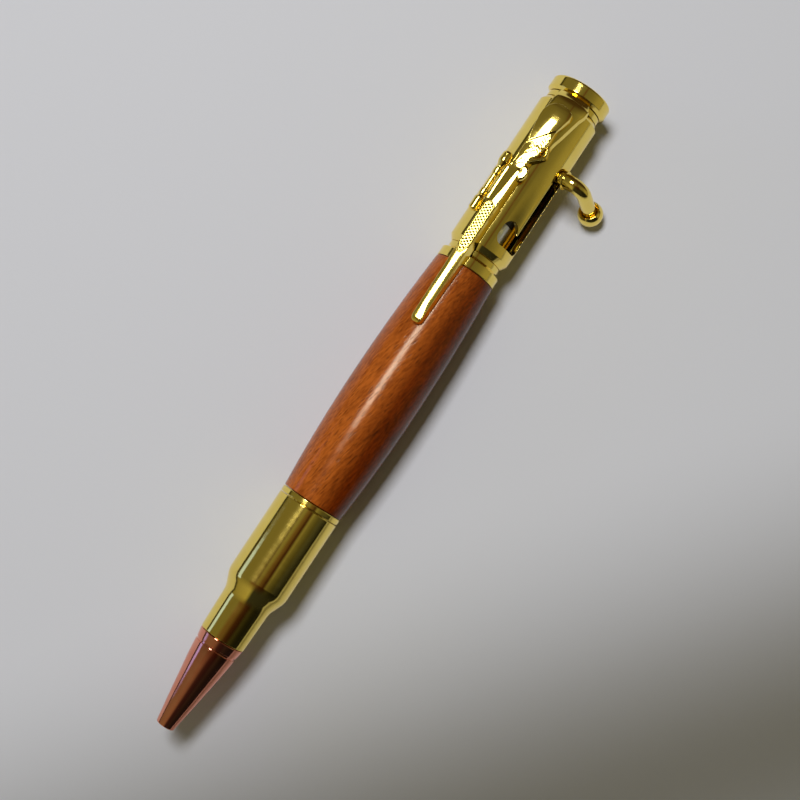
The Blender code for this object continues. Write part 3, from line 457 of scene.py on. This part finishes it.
def bent(start, end, leave, arrive):
    """Points between two others, on a smooth curve with these directions at its ends."""
    span = (end - start).length
    steps = math.ceil(max(leave.angle(end - start), arrive.angle(end - start)) * 2 / curve_turn)
    found = []
    for step in range(1, steps):
        t = step / steps
        found.append(
            start * (2 * t ** 3 - 3 * t ** 2 + 1) + leave * span * (t ** 3 - 2 * t ** 2 + t)
            + end * (3 * t ** 2 - 2 * t ** 3) + arrive * span * (t ** 3 - t ** 2)
        )
    return found


def refined(points, closed):
    """An outline with its edges rounded and its curves made smooth."""
    count = len(points)
    ends = () if closed else (0, count - 1)
    corner = [index not in ends and is_corner(points, index) for index in range(count)]
    runs = [
        fillet(points[index - 1], points[index], points[(index + 1) % count]) if corner[index]
        else [points[index]] for index in range(count)
    ]
    outline = []
    for index in range(count if closed else count - 1):
        after = (index + 1) % count
        outline += runs[index]
        start, end = runs[index][-1], runs[after][0]
        straight = (end - start).normalized()
        leave = straight if corner[index] or index in ends else tangent(points, index)
        arrive = straight if corner[after] or after in ends else tangent(points, after)
        between = bent(start, end, leave, arrive)
        if not between and (end - start).length > 4 * hold_width:
            between = [start + straight * hold_width, end - straight * hold_width]
        outline += between
    if not closed:
        outline.append(points[-1])
    return outline


def lathe(outline, closed, sides):
    """A mesh of an outline turned about X."""
    work = bmesh.new()
    angles = [2 * math.pi * side / sides for side in range(sides)]
    rings = []
    for point in outline:
        if point.y < weld:
            rings.append([work.verts.new((point.x, 0, 0))])
        else:
            rings.append([
                work.verts.new((point.x, -point.y * math.sin(angle), point.y * math.cos(angle)))
                for angle in angles
            ])
    pairs = list(zip(rings, rings[1:])) + ([(rings[-1], rings[0])] if closed else [])
    for first, second in pairs:
        for side in range(sides):
            after = (side + 1) % sides
            if len(first) == 1:
                work.faces.new((first[0], second[after], second[side]))
            elif len(second) == 1:
                work.faces.new((first[side], first[after], second[0]))
            else:
                work.faces.new((first[side], first[after], second[after], second[side]))
    bmesh.ops.remove_doubles(work, verts=work.verts, dist=least_gap)
    return finished(work, "turned")


def add_piece(name, mesh, place, body, material):
    """Links a mesh as a piece that rides on a body."""
    mesh.materials.clear()
    mesh.materials.append(material)
    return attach(linked(name, mesh, place), body)


def stand_for(piece, node):
    """The piece stands in for the node, which is hidden."""
    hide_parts(node)
    return piece


def turned_piece(node, name, material, angle=0.0, place=pen):
    """A fine turned piece in place of a node that is round about its place's X axis. Its outline is
    read at an angle round that axis."""
    points, closed = section(node, place, angle)
    widest = max(point.y for point in points)
    sides = slim_sides if widest < slim_limit else fine_sides
    mesh = lathe(refined(points, closed), closed, sides)
    piece = add_piece(name, mesh, place, nodes[node]["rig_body"], material)
    return stand_for(piece, node)


def settle(piece, modifier):
    """Applies a piece's modifier for good."""
    graph = bpy.context.evaluated_depsgraph_get()
    graph.update()
    mesh = bpy.data.meshes.new_from_object(piece.evaluated_get(graph))
    piece.modifiers.remove(modifier)
    work = bmesh.new()
    work.from_mesh(mesh)
    bmesh.ops.remove_doubles(work, verts=work.verts, dist=least_gap)
    bmesh.ops.dissolve_degenerate(work, edges=work.edges, dist=least_gap)
    work.to_mesh(mesh)
    work.free()
    piece.data = mesh
    mesh.shade_smooth()
    mesh.set_sharp_from_angle(angle=corner_turn)


def cut(piece, cutter):
    """Takes a cutter's shape out of a piece."""
    modifier = piece.modifiers.new("cut", "BOOLEAN")
    modifier.operation = "DIFFERENCE"
    modifier.solver = "EXACT"
    modifier.object = cutter
    settle(piece, modifier)
    bpy.data.objects.remove(cutter, do_unlink=True)


def bevelled(piece, width):
    """Rounds the sharp edges of a piece."""
    modifier = piece.modifiers.new("bevel", "BEVEL")
    modifier.width = width
    modifier.segments = 3
    modifier.limit_method = "ANGLE"
    modifier.angle_limit = bevel_angle
    settle(piece, modifier)


def prism(outline, low, high, place):
    """A flat outline in the XY plane raised from low to high, as a bare object to cut with."""
    work = bmesh.new()
    rings = [[work.verts.new((x, y, z)) for x, y in outline] for z in (low, high)]
    work.faces.new(rings[0])
    work.faces.new(rings[1])
    for index in range(len(outline)):
        after = (index + 1) % len(outline)
        work.faces.new((rings[0][index], rings[0][after], rings[1][after], rings[1][index]))
    return linked("cutter", finished(work, "cutter"), place)


def stadium(start, end, half_width):
    """A slot's outline along X, with round ends whose centres are start and end."""
    outline = []
    for centre, first in ((end, -math.pi / 2), (start, math.pi / 2)):
        for step in range(slot_steps + 1):
            angle = first + math.pi * step / slot_steps
            outline.append((centre + half_width * math.cos(angle), half_width * math.sin(angle)))
    return outline


def sector(low, high, inner, outer):
    """A ring sector's outline between two angles counted from Y towards -X."""
    outline = []
    for radius, order in ((outer, 1), (inner, -1)):
        for step in range(slot_steps + 1)[::order]:
            angle = low + (high - low) * step / slot_steps
            outline.append((-radius * math.sin(angle), radius * math.cos(angle)))
    return outline


def make_housing():
    """The housing with its hooked slot: a long run, and a pocket beside its nib end."""
    piece = turned_piece("bolt_housing", "bolt_tube", gold_plate, math.pi)
    half = slot_width / 2
    near_end = stem_station - stroke - half
    for angle, end in ((slot_angle, stem_station + half), (pocket_angle, near_end + pocket_length)):
        outline = stadium(near_end + half, end - half, half)
        place = pen @ Matrix.Rotation(angle, 4, "X")
        cut(piece, prism(outline, cutter_inner, cutter_outer, place))
    # The pocket's mouth is a sector across the pen, raised along it.
    across = Matrix(((0, 0, 1, 0), (1, 0, 0, 0), (0, 1, 0, 0), (0, 0, 0, 1)))
    outline = sector(pocket_angle, slot_angle, cutter_inner, cutter_outer)
    cut(piece, prism(outline, near_end, near_end + slot_width, pen @ across))
    bevelled(piece, slot_bevel)


def handle_place():
    """The handle's own frame. Its Z runs out along the stem and its -Y along the leg."""
    return (
        pen @ Matrix.Translation((stem_station, 0, 0))
        @ Matrix.Rotation(slot_angle, 4, "X") @ Matrix.Rotation(-handle_twist, 4, "Z")
    )


def make_piston():
    """The bolt's plunger, with the hole that the stem is screwed into."""
    piece = turned_piece("bolt_piston", "bolt_plunger", steel, math.pi)
    angles = np.linspace(0, 2 * math.pi, slot_steps * 2, endpoint=False)
    radius = stem_radius * hole_clearance
    circle = [(radius * math.cos(angle), radius * math.sin(angle)) for angle in angles]
    cut(piece, prism(circle, hole_start, cutter_outer, handle_place()))


def make_handle():
    """A round bar with a ring near its root, bent round its elbow."""
    straight = leg_offset - elbow_radius
    quarter = elbow_radius * math.pi / 2
    total = straight + quarter + leg_end - elbow_radius
    ring_end = stem_ring_start + stem_ring_height
    outline = [Vector(point) for point in (
        (stem_start, 0), (stem_start, stem_radius), (stem_ring_start, stem_radius),
        (stem_ring_start, stem_ring_radius), (ring_end, stem_ring_radius), (ring_end, stem_radius),
        (straight, stem_radius), (total, stem_radius), (total, 0),
    )]
    fine = []
    points = refined(outline, False)
    for first, second in zip(points, points[1:]):
        steps = max(1, math.ceil((second.x - first.x) / bar_step))
        fine += [first.lerp(second, step / steps) for step in range(steps)]
    fine.append(points[-1])
    mesh = lathe(fine, False, slim_sides)
    for vertex in mesh.vertices:
        along, side, depth = vertex.co
        share = min(1, max(0, (along - straight) / quarter))
        slim = 1 + (leg_radius / stem_radius - 1) * share
        side, depth = side * slim, depth * slim
        turn = share * math.pi / 2
        out = along if along < straight else straight + elbow_radius * math.sin(turn)
        over = elbow_radius * (1 - math.cos(turn)) + max(0, along - straight - quarter)
        vertex.co = (side, -over - depth * math.cos(turn), out - depth * math.sin(turn))
    piece = add_piece("bent_handle", mesh, handle_place(), "bolt", gold_plate)
    stand_for(piece, "bolt_handle")


def make_knob():
    """The ball on the leg's end."""
    place = (
        handle_place() @ Matrix.Translation((0, -leg_length, leg_offset))
        @ Matrix.Rotation(-math.pi / 2, 4, "Z")
    )
    turned_piece("bolt_knob", "handle_ball", gold_plate, place=place)


def make_spring():
    """A conical wire spring, its wire's ends capped flat."""
    steps = spring_turns * turn_points
    rings = []
    for step in range(steps + 1):
        share = step / steps
        turn = 2 * math.pi * step / turn_points
        radius = spring_front_radius + (spring_rear_radius - spring_front_radius) * share
        out = Vector((0, math.cos(turn), math.sin(turn)))
        centre = Vector((spring_start + (spring_end - spring_start) * share, 0, 0)) + out * radius
        ring = []
        for side in range(wire_sides):
            angle = 2 * math.pi * side / wire_sides
            offset = out * math.cos(angle) + Vector((1, 0, 0)) * math.sin(angle)
            ring.append(centre + offset * spring_wire)
        rings.append(ring)
    piece = add_piece("wire_spring", skin(rings), pen, "spring_seat", spring_steel)
    stand_for(piece, "return_spring")
    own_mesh(piece)


def eased(places, known, values):
    """A smooth curve through known values that never swings past them."""
    gaps = np.diff(known)
    rises = np.diff(values) / gaps
    slopes = np.concatenate(([rises[0]], np.zeros(len(known) - 2), [rises[-1]]))
    same = rises[:-1] * rises[1:] > 0
    inner = slopes[1:-1]
    inner[same] = 2 * rises[:-1][same] * rises[1:][same] / (rises[:-1] + rises[1:])[same]
    index = np.clip(np.searchsorted(known, places, side="right") - 1, 0, len(gaps) - 1)
    gap = gaps[index]
    t = (places - known[index]) / gap
    return (
        values[index] * (2 * t ** 3 - 3 * t ** 2 + 1)
        + slopes[index] * gap * (t ** 3 - 2 * t ** 2 + t)
        + values[index + 1] * (3 * t ** 2 - 2 * t ** 3)
        + slopes[index + 1] * gap * (t ** 3 - t ** 2)
    )


def rising(value, low, high):
    """0 below low and 1 above high, with a smooth rise between."""
    t = np.clip((value - low) / (high - low), 0, 1)
    return t * t * (3 - 2 * t)


def clip_floor(station):
    """The radius of the clip's underside, which keeps clear of the wood and the housing."""
    if station > clip_ring_start:
        return clip_ring_radius - clip_edge
    if station > wood_end:
        return clip_floor_radius
    reach = wood_end - belly_station
    arc = (reach * reach + belly_rise * belly_rise) / (2 * belly_rise)
    away = station - belly_station
    wood = belly_radius - arc + math.sqrt(arc * arc - away * away)
    return max(clip_floor_radius, wood + clip_lift)


def chequering(station, width):
    """Staggered cuts in a panel that is pointed in front and round behind, with a raised border."""
    if not panel_start - border_width * 2 < station < panel_end + border_width * 2:
        return np.zeros_like(width)
    half = panel_half * np.clip((station - panel_start) / panel_point, 0, 1) ** panel_taper
    round_end = panel_end - panel_half
    if station > round_end:
        half = math.sqrt(max(0.0, panel_half ** 2 - (station - round_end) ** 2))
    inside = half - np.abs(width - panel_middle)
    first = np.abs((station / chequer_length + width / chequer_width) % 1 - 0.5) * 2
    second = np.abs((station / chequer_length - width / chequer_width) % 1 - 0.5) * 2
    cuts = chequer_slope * np.maximum(0, np.minimum(first, second) - chequer_land)
    border = border_height * np.exp(-((inside + border_width) / border_width) ** 2)
    return border - cuts * rising(inside, *cut_fade)


def rifle_relief(station, width, left):
    """Carving on the rifle's side, in mm, at a station and an array of widths."""
    relief = chequering(station, width)
    (x0, w0), (x1, w1), (x2, w2) = crease
    line = np.interp(station, (x0, x1, x2), (w0, w1, w2))
    beside = rising(station, x0 - relief_fade, x0 + relief_fade)
    beside = beside * (1 - rising(station, x2 - relief_fade, x2 + crease_end_fade))
    rim = left + np.interp(station, *zip(*rim_widths))
    relief = relief - crease_fall * beside * np.maximum(0, line - np.maximum(width, rim))
    rim_start, rim_end = left_rim
    rimmed = rising(station, rim_start - relief_fade, rim_start + relief_fade)
    rimmed = rimmed * (1 - rising(station, rim_end - rim_end_fade, rim_end))
    relief = relief + rim_slope * rimmed * np.maximum(0, rim - width)
    (x0, w0), (x1, w1) = butt_front
    span = math.hypot(x1 - x0, w1 - w0)
    behind = ((station - x0) * (w1 - w0) - (width - w0) * (x1 - x0)) / span
    relief = relief + butt_step * rising(behind, *butt_front_fade)
    bend = scroll_bend * np.sin(math.pi * width / engraving_width)
    scroll = (
        np.sin(2 * math.pi * station / engraving_length + bend)
        * np.sin(2 * math.pi * (width / engraving_width + station / scroll_drift))
    )
    along = rising(station, engraving_start, engraving_start + engraving_fade)
    along = along * (1 - rising(station, engraving_end - engraving_fade, engraving_end))
    upper = np.interp(station, *zip(*engraving_edge))
    across = rising(width - upper, *engraving_edge_fade) * rising(-behind, 0, engraving_edge_fade[1])
    return relief + engraving_height * scroll * along * across


def plain_relief(station, width, left):
    """No carving."""
    return np.zeros_like(width)


def section_ring(row, relief):
    """Points round one section of the clip: up the left wall, over the top, down the right wall and
    back along the foot."""
    station, left, right, left_foot, right_foot, start, middle, end = row
    floor = clip_floor(station * mm) / mm
    edge = min(clip_edge / mm, (right - left) / 4, (min(start, middle, end) - floor) / 3)
    across = np.linspace(left + edge, right - edge, top_steps)
    share = (across - left) / (right - left)
    heights = (
        start * (1 - share) * (1 - 2 * share) + middle * 4 * share * (1 - share)
        + end * share * (2 * share - 1) + relief(station, across, left)
    )
    first, last = heights[0] - edge, heights[-1] - edge
    quarter = [math.pi / 2 * step / edge_steps for step in range(edge_steps + 1)]
    ring = []
    for step in range(wall_steps):
        t = step / wall_steps
        ring.append((left_foot * (1 - t) + left * t, floor * (1 - t) + first * t))
    for angle in quarter[:-1]:
        ring.append((left + edge * (1 - math.cos(angle)), heights[0] - edge * (1 - math.sin(angle))))
    ring += list(zip(across, heights))
    for angle in quarter[1:]:
        ring.append((right - edge * (1 - math.sin(angle)), heights[-1] - edge * (1 - math.cos(angle))))
    for step in range(1, wall_steps + 1):
        t = step / wall_steps
        ring.append((right * (1 - t) + right_foot * t, last * (1 - t) + floor * t))
    for step in range(1, foot_steps):
        t = step / foot_steps
        ring.append((right_foot * (1 - t) + left_foot * t, floor))
    return [(station * mm, -r * mm * math.sin(w / r), r * mm * math.cos(w / r)) for w, r in ring]


def skin(rings):
    """A closed smooth mesh over rings of points, with flat ends."""
    work = bmesh.new()
    made = [[work.verts.new(point) for point in ring] for ring in rings]
    count = len(made[0])
    for first, second in zip(made, made[1:]):
        for i in range(count):
            j = (i + 1) % count
            work.faces.new((first[i], first[j], second[j], second[i]))
    work.faces.new(made[0])
    work.faces.new(made[-1])
    return finished(work, "skin")


def clip_piece(name, mesh, place=pen):
    """A piece of the clip."""
    stand_for(add_piece(name, mesh, place, "clip", gold_plate), "rifle_clip")


def make_leaf(name, rows, relief):
    """A fine loft through listed sections, with its relief."""
    table = np.array(rows)
    start, end = table[0, 0], table[-1, 0]
    places = np.linspace(start, end, math.ceil((end - start) * mm / clip_step))
    columns = [places] + [eased(places, table[:, 0], column) for column in table.T[1:]]
    mesh = skin([section_ring(row, relief) for row in zip(*columns)])
    mesh.set_sharp_from_angle(angle=skin_corner)
    clip_piece(name, mesh)


def rounded_box(size, rounding):
    """A box about the origin with rounded edges."""
    work = bmesh.new()
    bmesh.ops.create_cube(work, size=1)
    bmesh.ops.scale(work, vec=size, verts=work.verts)
    bmesh.ops.bevel(work, geom=work.edges, offset=rounding, segments=3, profile=0.5, affect="EDGES")
    mesh = finished(work, "box")
    mesh.set_sharp_from_angle(angle=corner_turn)
    return mesh


def make_scope():
    """The telescope and its two mounts."""
    outline = [Vector((along * mm, radius * mm)) for along, radius in scope_outline]
    place = pen @ Matrix.Translation((scope_start, scope_offset, scope_height))
    clip_piece("telescope", lathe(refined(outline, False), False, slim_sides), place)
    for number, station in enumerate(mount_stations, 1):
        mesh = rounded_box([length * mm for length in mount_size], mount_rounding)
        at = (station * mm, scope_offset - mount_inset, scope_height - mount_drop)
        clip_piece(f"scope_mount_{number}", mesh, pen @ Matrix.Translation(at))


def make_magazine():
    """An oval boss with a flat top."""
    foot = Vector((-magazine_foot, 0))
    outline = [foot] + [Vector((height * mm, radius * mm)) for height, radius in magazine_outline]
    outline[1:1] = [Vector((foot.x, outline[1].y))]
    mesh = lathe(refined(outline, False), False, fine_sides)
    station, width, height = magazine_centre
    place = (
        pen @ Matrix.Translation((station * mm, -width * mm, height * mm))
        @ Matrix.Rotation(magazine_tilt, 4, "X") @ Matrix.Diagonal((1, magazine_squash, 1, 1))
        @ Matrix.Rotation(-math.pi / 2, 4, "Y")
    )
    mesh.transform(pen.inverted() @ place)
    clip_piece("magazine", mesh)


def make_guard():
    """A strip on edge, with a rounded top, from the clip's underside up."""
    table = np.array(guard_rows)
    lengths = np.concatenate(([0], np.cumsum(np.hypot(np.diff(table[:, 0]), np.diff(table[:, 1])))))
    places = np.linspace(0, lengths[-1], guard_steps)
    along, width, top = (eased(places, lengths, column) for column in table.T)
    half, soft, last = guard_width / 2, guard_rounding, guard_steps - 1
    rings = []
    for index in range(guard_steps):
        before, after = max(index - 1, 0), min(index + 1, last)
        way = Vector((along[after] - along[before], width[after] - width[before])).normalized()
        side = Vector((-way.y, way.x))
        profile = [(half, clip_floor_radius / mm)]
        for step in range(edge_steps + 1):
            angle = math.pi / 2 * step / edge_steps
            height = top[index] - soft * (1 - math.sin(angle))
            profile.append((half - soft * (1 - math.cos(angle)), height))
        profile += [(-across, height) for across, height in reversed(profile)]
        ring = []
        for across, radius in profile:
            angle = (width[index] + side.y * across) / radius
            station = along[index] + side.x * across
            ring.append((station * mm, -radius * mm * math.sin(angle), radius * mm * math.cos(angle)))
        rings.append(ring)
    mesh = skin(rings)
    mesh.set_sharp_from_angle(angle=skin_corner)
    clip_piece("trigger_guard", mesh)


def make_clip():
    """The rifle, the leaf and ring behind it, its telescope, magazine and trigger guard."""
    make_leaf("rifle", rifle_rows, rifle_relief)
    make_leaf("clip_leaf", root_rows, plain_relief)
    make_scope()
    make_magazine()
    make_guard()
    corners = [
        (clip_ring_start, clip_ring_bore), (clip_ring_start, clip_ring_radius),
        (clip_ring_end, clip_ring_radius), (clip_ring_end, clip_ring_bore),
    ]
    outline = refined([Vector(corner) for corner in corners], True)
    clip_piece("clip_band", lathe(outline, True, fine_sides))


class Nodes:
    """Builds the nodes of one tree in a few words."""

    def __init__(self, tree):
        self.tree = tree

    def fill(self, node, **inputs):
        """Gives a node its inputs: a value or another node's output. _2 is the socket with index 2."""
        for key, value in inputs.items():
            socket = node.inputs[int(key[1:]) if key[0] == "_" else key.replace("_", " ")]
            if isinstance(value, bpy.types.NodeSocket):
                self.tree.links.new(value, socket)
            else:
                socket.default_value = value

    def node(self, kind, settings=None, **inputs):
        """A new node with its settings and inputs."""
        made = self.tree.nodes.new(f"ShaderNode{kind}")
        for key, value in (settings or {}).items():
            setattr(made, key, value)
        self.fill(made, **inputs)
        return made

    def spread(self, value, low, high, to_low, to_high):
        """A value's range from low to high, spread over another range and held within it."""
        made = self.node("MapRange", _0=value, _1=low, _2=high, _3=to_low, _4=to_high)
        return made.outputs["Result"]

    def math(self, operation, first, second):
        """A sum of two values, or another operation on them."""
        return self.node("Math", {"operation": operation}, _0=first, _1=second).outputs[0]

    def mixed(self, share, first, second):
        """Two colours mixed by a share."""
        made = self.node("Mix", {"data_type": "RGBA"}, _0=share, _6=first, _7=second)
        return made.outputs[2]


class Shader(Nodes):
    """A material's nodes."""

    def __init__(self, name):
        self.material = bpy.data.materials.new(name)
        self.material.use_nodes = True
        super().__init__(self.material.node_tree)
        self.surface = self.tree.nodes["Principled BSDF"]
        self.place = self.node("TexCoord").outputs["Object"]

    def set(self, **inputs):
        """Inputs for the surface's own sockets."""
        self.fill(self.surface, **inputs)

    def stretched(self, scale, place=None):
        """Places scaled apart along X, Y and Z."""
        return self.node("Mapping", Vector=place or self.place, Scale=scale).outputs["Vector"]

    def noise(self, scale, detail=3.0, roughness=0.5, place=None):
        """A noise between 0 and 1."""
        place = place or self.place
        made = self.node("TexNoise", Vector=place, Scale=scale, Detail=detail, Roughness=roughness)
        return made.outputs["Fac"]

    def bump(self, height, distance, **normal):
        """A bump of a depth, over another bump where its normal is given."""
        made = self.node("Bump", Height=height, Distance=distance, Strength=1.0, **normal)
        return made.outputs["Normal"]


def colour(red, green, blue):
    """A colour with full cover."""
    return (red, green, blue, 1.0)


def plated(name, bright, tarnished, gloss=mirror):
    """Polished plate: faint waves in the metal, polishing lines round the pen and a little haze."""
    shader = Shader(name)
    haze = shader.noise(haze_scale, detail=4.0, roughness=0.6)
    lines = shader.noise(polish_scale, detail=2.0, place=shader.stretched(polish_stretch))
    patch = shader.math("MULTIPLY", shader.spread(haze, 0.35, 0.7, 0.0, 1.0), tarnish_share)
    dull = shader.math("ADD", haze, shader.math("MULTIPLY", lines, polish_share))
    shader.set(
        Base_Color=shader.mixed(patch, bright, tarnished),
        Metallic=1.0,
        Roughness=shader.spread(dull, 0.4, 1.0, *gloss),
    )
    waves = shader.bump(shader.noise(wave_scale, detail=1.0), wave_depth)
    shader.set(Normal=shader.bump(lines, polish_depth, Normal=waves))
    return shader.material


def hardwood():
    """Red brown wood under a polish: soft figure, fine slanting streaks and open pores, and painted shade
    that darkens the side towards the slot.
    """
    shader = Shader("hardwood")
    slanted = shader.node("Mapping", Vector=shader.place, Rotation=(0, 0, grain_slant)).outputs["Vector"]
    fibres, short, bands = (
        shader.stretched((stretch, 1.0, 1.0), slanted)
        for stretch in (streak_stretch, fleck_stretch, figure_stretch)
    )
    streaks = shader.noise(streak_scale, roughness=0.6, place=fibres)
    flecks = shader.noise(fleck_scale, roughness=0.6, place=short)
    figure = shader.noise(figure_scale, roughness=0.55, place=bands)
    pores = shader.spread(shader.noise(pore_scale, detail=1.0, place=fibres), 0.60, 0.70, 0.0, 1.0)
    across = shader.node("SeparateXYZ", Vector=shader.place).outputs["Y"]
    # painted shade: the side towards the slot takes a darker, shaded copy of the wood's colours
    painted_shade = shader.spread(across, *painted_shade_span, 1.0, 0.0)
    coarse = shader.spread(streaks, 0.35, 0.65, 0.0, 0.4)
    fine = shader.spread(flecks, 0.38, 0.62, 0.0, 0.42)
    soft = shader.spread(figure, 0.35, 0.65, 0.0, 0.4)
    share = shader.math("ADD", soft, shader.math("ADD", coarse, fine))
    plain = shader.mixed(share, colour(0.20, 0.036, 0.003), colour(0.52, 0.130, 0.015))
    # a shaded copy of the wood's colours, used for the painted shade
    shaded_wood = shader.mixed(share, colour(0.056, 0.009, 0.001), colour(0.23, 0.033, 0.001))
    shade = shader.mixed(painted_shade, plain, shaded_wood)
    dark = shader.math("MULTIPLY", pores, pore_share)
    shader.set(
        Base_Color=shader.mixed(dark, shade, colour(0.05, 0.010, 0.002)),
        Roughness=shader.spread(streaks, 0.3, 0.7, *wood_gloss),
        Specular_IOR_Level=0.33,
        Specular_Tint=colour(1.0, 0.85, 0.62),
        Normal=shader.bump(shader.math("SUBTRACT", flecks, pores), wood_depth),
    )
    return shader.material


def moulded():
    """Matt black plastic with a fine moulded grain."""
    shader = Shader("black_plastic")
    grain = shader.noise(plastic_scale)
    shader.set(
        Base_Color=shader.mixed(grain, colour(0.022, 0.022, 0.023), colour(0.040, 0.040, 0.041)),
        Roughness=shader.spread(grain, 0.3, 0.7, 0.42, 0.6),
        Normal=shader.bump(grain, plastic_depth),
    )
    return shader.material


def make_camera():
    """The photograph's camera."""
    data = bpy.data.cameras.new("camera")
    data.lens = camera_lens
    data.sensor_width = camera_sensor
    data.clip_start, data.clip_end = camera_range
    turn = Matrix.Rotation(camera_heading, 4, "Z") @ Matrix.Rotation(camera_tilt, 4, "X")
    bpy.context.scene.camera = linked("camera", data, Matrix.Translation(camera_at) @ turn)


def sheet(name, size, place):
    """A flat square of the stage."""
    work = bmesh.new()
    bmesh.ops.create_grid(work, x_segments=1, y_segments=1, size=0.5)
    bmesh.ops.scale(work, vec=(*size, 1), verts=work.verts)
    mesh = bpy.data.meshes.new(name)
    work.to_mesh(mesh)
    work.free()
    obj = linked(name, mesh, place)
    return obj


def make_floor():
    """A sheet of pale paper."""
    shader = Shader("paper")
    grain = shader.noise(paper_scale, detail=2.0)
    shader.set(Base_Color=colour(0.718, 0.748, 0.80), Roughness=0.75)
    shader.set(Normal=shader.bump(grain, paper_depth))
    floor = sheet("floor", (floor_size, floor_size), Matrix())
    floor.data.materials.append(shader.material)


def make_flag():
    """A card that shades the floor at the lower right from the main light."""
    (x0, y0), (x1, y1) = flag_edge
    along = Vector((x1 - x0, y1 - y0)).normalized()
    away = Vector((along.y, -along.x))
    middle = Vector(((x0 + x1) / 2, (y0 + y1) / 2)) + away * flag_size[1] / 2
    turn = math.atan2(along.y, along.x)
    place = Matrix.Translation((middle.x, middle.y, flag_height)) @ Matrix.Rotation(turn, 4, "Z")
    flag = sheet("flag", flag_size, place)
    flag.visible_camera = False
    flag.visible_glossy = False
    flag.visible_diffuse = False
    flag.data.materials.append(Shader("black_card").material)


def softbox(name, across, along, distance, size, power, tint):
    """An area light seen from the pen at an angle across it and an angle towards its cap end, in
    degrees. Its size is given along and across the pen."""
    data = bpy.data.lights.new(name, "AREA")
    data.shape = "RECTANGLE"
    data.size, data.size_y = size
    data.energy = power
    data.color = tint
    lean, turn = math.radians(along), math.radians(across)
    back = Vector((math.sin(lean), math.cos(lean) * math.sin(turn), math.cos(lean) * math.cos(turn)))
    side = back.cross(Vector((1, 0, 0))).normalized()
    axes = Matrix((side.cross(back), side, back)).transposed()
    light = linked(name, data, Matrix.Translation(back * distance) @ axes.to_4x4())
    light.visible_camera = False


def sky(room, angle, stops):
    """One stretch of the room, by the angle across the pen: a ramp through its stops."""
    ramp = room.node("ValToRGB", Fac=angle)
    while len(ramp.color_ramp.elements) < len(stops):
        ramp.color_ramp.elements.new(0.5)
    for element, (degrees, value, tone) in zip(ramp.color_ramp.elements, stops):
        element.position = (degrees + 180) / 360
        element.color = (*(value * part for part in tone), 1)
    return ramp.outputs["Color"]


def surroundings():
    """A dim room round the pen, from the skies in their order along it."""
    world = bpy.data.worlds.new("room")
    bpy.context.scene.world = world
    world.use_nodes = True
    room = Nodes(world.node_tree)
    way = room.node("SeparateXYZ", _0=room.node("TexCoord").outputs["Generated"]).outputs
    angle = room.spread(room.math("ARCTAN2", way["Y"], way["Z"]), math.pi, -math.pi, 0, 1)
    skies = (far_sky, neck_sky, nib_sky, cap_sky, end_sky)
    shade, *others = (sky(room, angle, stops) for stops in skies)
    for (low, high), other in zip(sky_turns, others):
        share = room.spread(way["X"], low, high, 0, 1)
        shade = room.mixed(share, shade, other)
    room.fill(world.node_tree.nodes["Background"], Color=shade)


gold_plate = plated("gold_plate", colour(0.98, 0.77, 0.18), colour(0.90, 0.65, 0.12))
copper_plate = plated("copper_plate", colour(0.86, 0.35, 0.23), colour(0.74, 0.24, 0.14))
steel = plated("bright_steel", colour(0.72, 0.72, 0.72), colour(0.58, 0.57, 0.55))
satin_steel = plated("satin_steel", colour(0.80, 0.82, 0.85), colour(0.68, 0.70, 0.73), satin)
spring_steel = plated("spring_steel", colour(0.6, 0.6, 0.6), colour(0.45, 0.44, 0.42))
plain_brass = plated("plain_brass", colour(0.72, 0.56, 0.27), colour(0.60, 0.45, 0.20))

for node, name, material in (
    ("nose_cone", "copper_nose", copper_plate),
    ("front_shell", "cartridge_front", gold_plate),
    ("front_bush", "front_ring", gold_plate),
    ("wood_barrel", "wooden_barrel", hardwood()),
    ("rear_collar", "extractor_collar", gold_plate),
    ("end_cap", "cartridge_rim", gold_plate),
    ("primer_disc", "primer", gold_plate),
    ("refill_tube", "metal_refill", satin_steel),
    ("refill_nozzle", "refill_front", plain_brass),
    ("refill_point", "writing_point", steel),
    ("refill_ball", "writing_ball", steel),
):
    turned_piece(node, name, material)

make_housing()
make_piston()
make_handle()
make_knob()
make_spring()
make_clip()

kept = {"barrel_tube": plain_brass, "end_bush": plain_brass, "refill_plug": moulded()}
for node, material in kept.items():
    nodes[node].data.materials.clear()
    nodes[node].data.materials.append(material)

make_camera()
make_floor()
make_flag()
softbox(
    "main_light", across=20, along=10.8, distance=0.8, size=(0.31, 0.20), power=4.15, tint=(1.0, 0.98, 1.0)
)
softbox(
    "window", across=73, along=-16, distance=1.0, size=(0.36, 0.23), power=0.42, tint=(0.24, 0.38, 1.1)
)
surroundings()
bpy.context.scene.view_settings.view_transform = "Standard"
